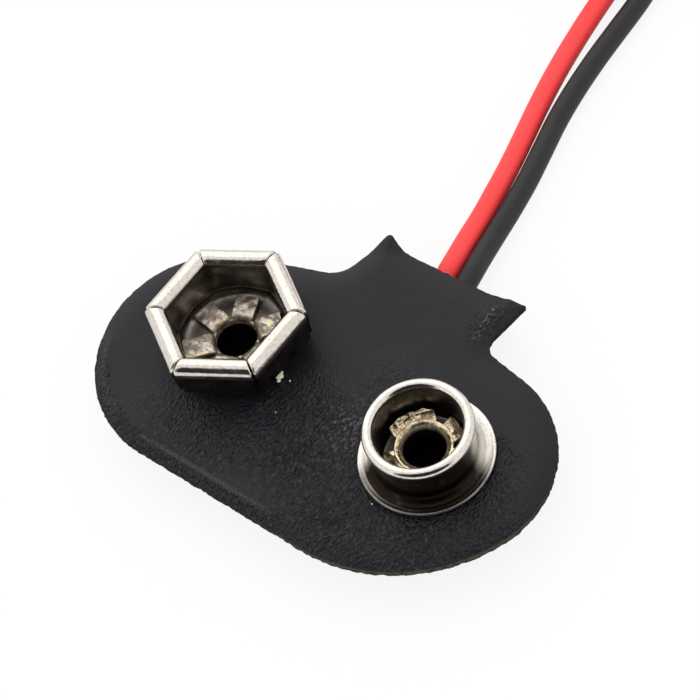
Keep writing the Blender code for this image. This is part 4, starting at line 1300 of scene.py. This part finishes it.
def barrel(x, rim):
    """The rivet's head under the board and its barrel up to the rim, and a plug far down."""
    line = np.array(((HEAD_RADIUS, HEAD_HEIGHT), (1.6, HEAD_HEIGHT), (1.32, HEAD_HEIGHT),
                     (1.22, HEAD_HEIGHT + 0.06), (BARREL_RADIUS, HEAD_HEIGHT + 0.2),
                     (BARREL_RADIUS, -0.8), (BARREL_RADIUS, 0.0), *rim))
    shell = turned_rings(thick_profile(line, BARREL_WALL), BARREL_COLUMNS, x)
    plug = turned_rings(np.array(PLUG), BARREL_COLUMNS, x)
    return shell, plug


def rivet_piece(name, x, rim, petals, material, stands_for):
    """Barrel, plug and petals as one piece, with a number that says how deep each point is.

    It is 0 from the rim upwards, and 1 from a little way below it.
    """
    shell, plug = barrel(x, rim)
    points, faces = join_grids([plug, *petals])
    shell_faces = grid_faces(len(shell), BARREL_COLUMNS, len(points), rows_close=True)
    points = np.concatenate((points, shell.reshape(-1, 3)))
    piece = new_piece(name, points, (*faces, shell_faces), material, stands_for,
                      SHARP_ANGLE)
    above_rim = (points[:, 2] - FACE_Z) / MM - rim[-1][1]
    keep_number(piece, "deep", 1.0 - smooth_step((above_rim + DARK_BELOW_RIM) / DARK_BELOW_RIM))


def socket_petals():
    """Six even tabs, bent down flat, each a little different in length and turn."""
    chance = np.random.default_rng(5)
    petals = []
    for k, reach in enumerate(SOCKET_PETAL_REACH):
        rows = smooth_rows(SOCKET_FLARE, 5)
        rows[:, 0] += reach * smooth_step((rows[:, 0] - 1.4) / 1.0)
        rows = np.column_stack((rows, np.full(len(rows), SOCKET_PETAL_CORNER),
                                np.zeros(len(rows))))
        turn = SOCKET_PETAL_TURN + SECTOR * k + math.radians(chance.uniform(-2, 2))
        petals.append(strip_points(rows, BARREL_WALL, turn, SOCKET_X,
                                   crumple=crumpled(20 + k, amount=0.06, longest=1.1)))
    return petals


def stud_petals():
    """Five uneven petals that flare up, each as wide as its own range of angles."""
    petals = []
    for k, (first, last) in enumerate(STUD_PETALS):
        rows = smooth_rows(STUD_FLARE, 5)
        spread = math.radians(last - first) / 2
        taper = 1.0 - STUD_PETAL_TAPER * smooth_step((rows[:, 0] - 1.5) / 0.5)
        zero = np.zeros(len(rows))
        rows = np.column_stack((rows, zero, rows[:, 0] * spread * taper,
                                zero + STUD_PETAL_CORNER, zero))
        turn = math.radians(first + last) / 2
        petals.append(strip_points(rows, STUD_PETAL_SHEET, turn, STUD_X, across=41,
                                   crumple=crumpled(40 + k, amount=0.17, longest=1.5)))
    return petals


def brass_finish(name, bright, dull, raw, haze, crease):
    """Rivet brass: dull patches over bright metal, raw golden edges, and a bore painted black as
    shade.
    """
    finish = Finish(name, Specular_IOR_Level=0.0)
    cloud = finish.noise(0.40 * MM, 3.0)
    grain = finish.noise(0.10 * MM, 3.0)
    share = (0.65 * cloud + 0.35 * grain).between(0.40, 0.60)
    proud = finish.add("ShaderNodeNewGeometry", {}, output="Pointiness").between(0.50, 0.58)
    deep = finish.kept("deep")
    colour = finish.mix(proud, finish.mix(share, bright, dull), raw)
    # the bore below the rim is painted black as shade
    finish.feed("Base Color", finish.mix(deep, colour, rgb(0.004, 0.003, 0.003)))
    finish.feed("Metallic", 1.0 - deep)
    finish.feed("Roughness", haze + 0.25 * share + 0.3 * deep)
    finish.feed("Normal", finish.bump(cloud * 0.6 + grain * 0.4, crease))
    return finish.material


socket_brass = brass_finish("socket brass", rgb(0.66, 0.57, 0.49), rgb(0.36, 0.30, 0.25),
                            rgb(0.82, 0.70, 0.48), haze=0.30, crease=0.025 * MM)
stud_brass = brass_finish("stud brass", rgb(0.86, 0.70, 0.48), rgb(0.34, 0.23, 0.12),
                          rgb(0.98, 0.86, 0.60), haze=0.14, crease=0.018 * MM)
rivet_piece("socket_rivet", SOCKET_X, ((BARREL_RADIUS, 0.30),), socket_petals(),
            socket_brass, ("socket_eyelet",))
rivet_piece("stud_rivet", STUD_X, STUD_RIM, stud_petals(), stud_brass,
            ("stud_eyelet",))

# %% [markdown]
# ## Dust
#
# One pale crumb lies on the cover beside the socket, with a few specks round it and about.
# Each is a ball whose radius is pushed in and out by sine waves, so that no two are alike.
# Each is given by its place and radius in millimetres.

# %% Crumb and specks
CRUMBS = (
    (-3.08, -0.46, 0.20), (-3.16, -0.26, 0.13), (-2.96, -0.67, 0.10), (-2.46, -0.36, 0.045),
    (-3.82, 2.79, 0.040), (5.68, -3.67, 0.040), (8.76, -2.29, 0.035), (-1.9, -2.2, 0.030),
)
CRUMB_ROWS = 9
CRUMB_COLUMNS = 12


def crumb_rings(x, y, radius, seed):
    """Ball of rings: radius (1 + 0.35 wave), flattened a little and laid on the face."""
    down, around = np.meshgrid(
        np.linspace(0.15, np.pi - 0.15, CRUMB_ROWS),
        np.linspace(0, 2 * np.pi, CRUMB_COLUMNS, endpoint=False), indexing="ij")
    flat = np.stack((around, down * 2), axis=-1).reshape(-1, 2)
    swell = 1.0 + 0.35 * waves(flat, seed, 4.0).reshape(down.shape)
    reach = radius * MM * swell
    ball = np.stack((reach * np.sin(down) * np.cos(around), reach * np.sin(down) * np.sin(around),
                     0.8 * reach * np.cos(down)), axis=-1)
    base = face_height(np.array(((x, y),)) * MM)[0] + 0.6 * radius * MM
    return ball[::-1, ::-1] + np.array((x * MM, y * MM, base))


def plain_finish(name, first, second, size, rough, depth, metallic=0.0):
    """Two colours mixed by noise, with an uneven gloss and a fine bump."""
    finish = Finish(name, Metallic=metallic)
    cloud = finish.noise(size, 4.0)
    finish.feed("Base Color", finish.mix(cloud.between(0.35, 0.65), first, second))
    finish.feed("Roughness", rough + 0.2 * cloud)
    finish.feed("Normal", finish.bump(cloud, depth))
    return finish.material


pale_dust = plain_finish("pale dust", rgb(0.92, 0.94, 0.72), rgb(0.74, 0.80, 0.50),
                         size=0.15 * MM, rough=0.6, depth=0.02 * MM)
crumb_points, crumb_faces = join_grids([crumb_rings(*crumb, seed)
                                        for seed, crumb in enumerate(CRUMBS)])
new_piece("dust", crumb_points, crumb_faces, pale_dust)

# %% [markdown]
# ## What lies inside
#
# The board, the solder and the short wires keep the shapes that the solids have, and only
# get their finishes: phenolic fibre, soft solder, tin and vinyl.

# %% Finishes of the carried-over solids
def dress(material, *nodes):
    """Give solids of the frame their material."""
    for node in nodes:
        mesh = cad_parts[node].data
        mesh.materials.clear()
        mesh.materials.append(material)
        print(node, "gets", material.name)


fibre = plain_finish("phenolic fibre", rgb(0.16, 0.075, 0.035), rgb(0.11, 0.05, 0.025),
                     size=0.4 * MM, rough=0.5, depth=0.03 * MM)
solder = plain_finish("solder", rgb(0.62, 0.62, 0.62), rgb(0.45, 0.45, 0.46),
                      size=0.5 * MM, rough=0.25, depth=0.03 * MM, metallic=1.0)
dress(fibre, "terminal_board")
dress(solder, "socket_solder", "stud_solder")
dress(tinned_wire, "red_conductor", "black_conductor")
dress(red_vinyl, "red_lead_inner")
dress(black_vinyl, "black_lead_inner")
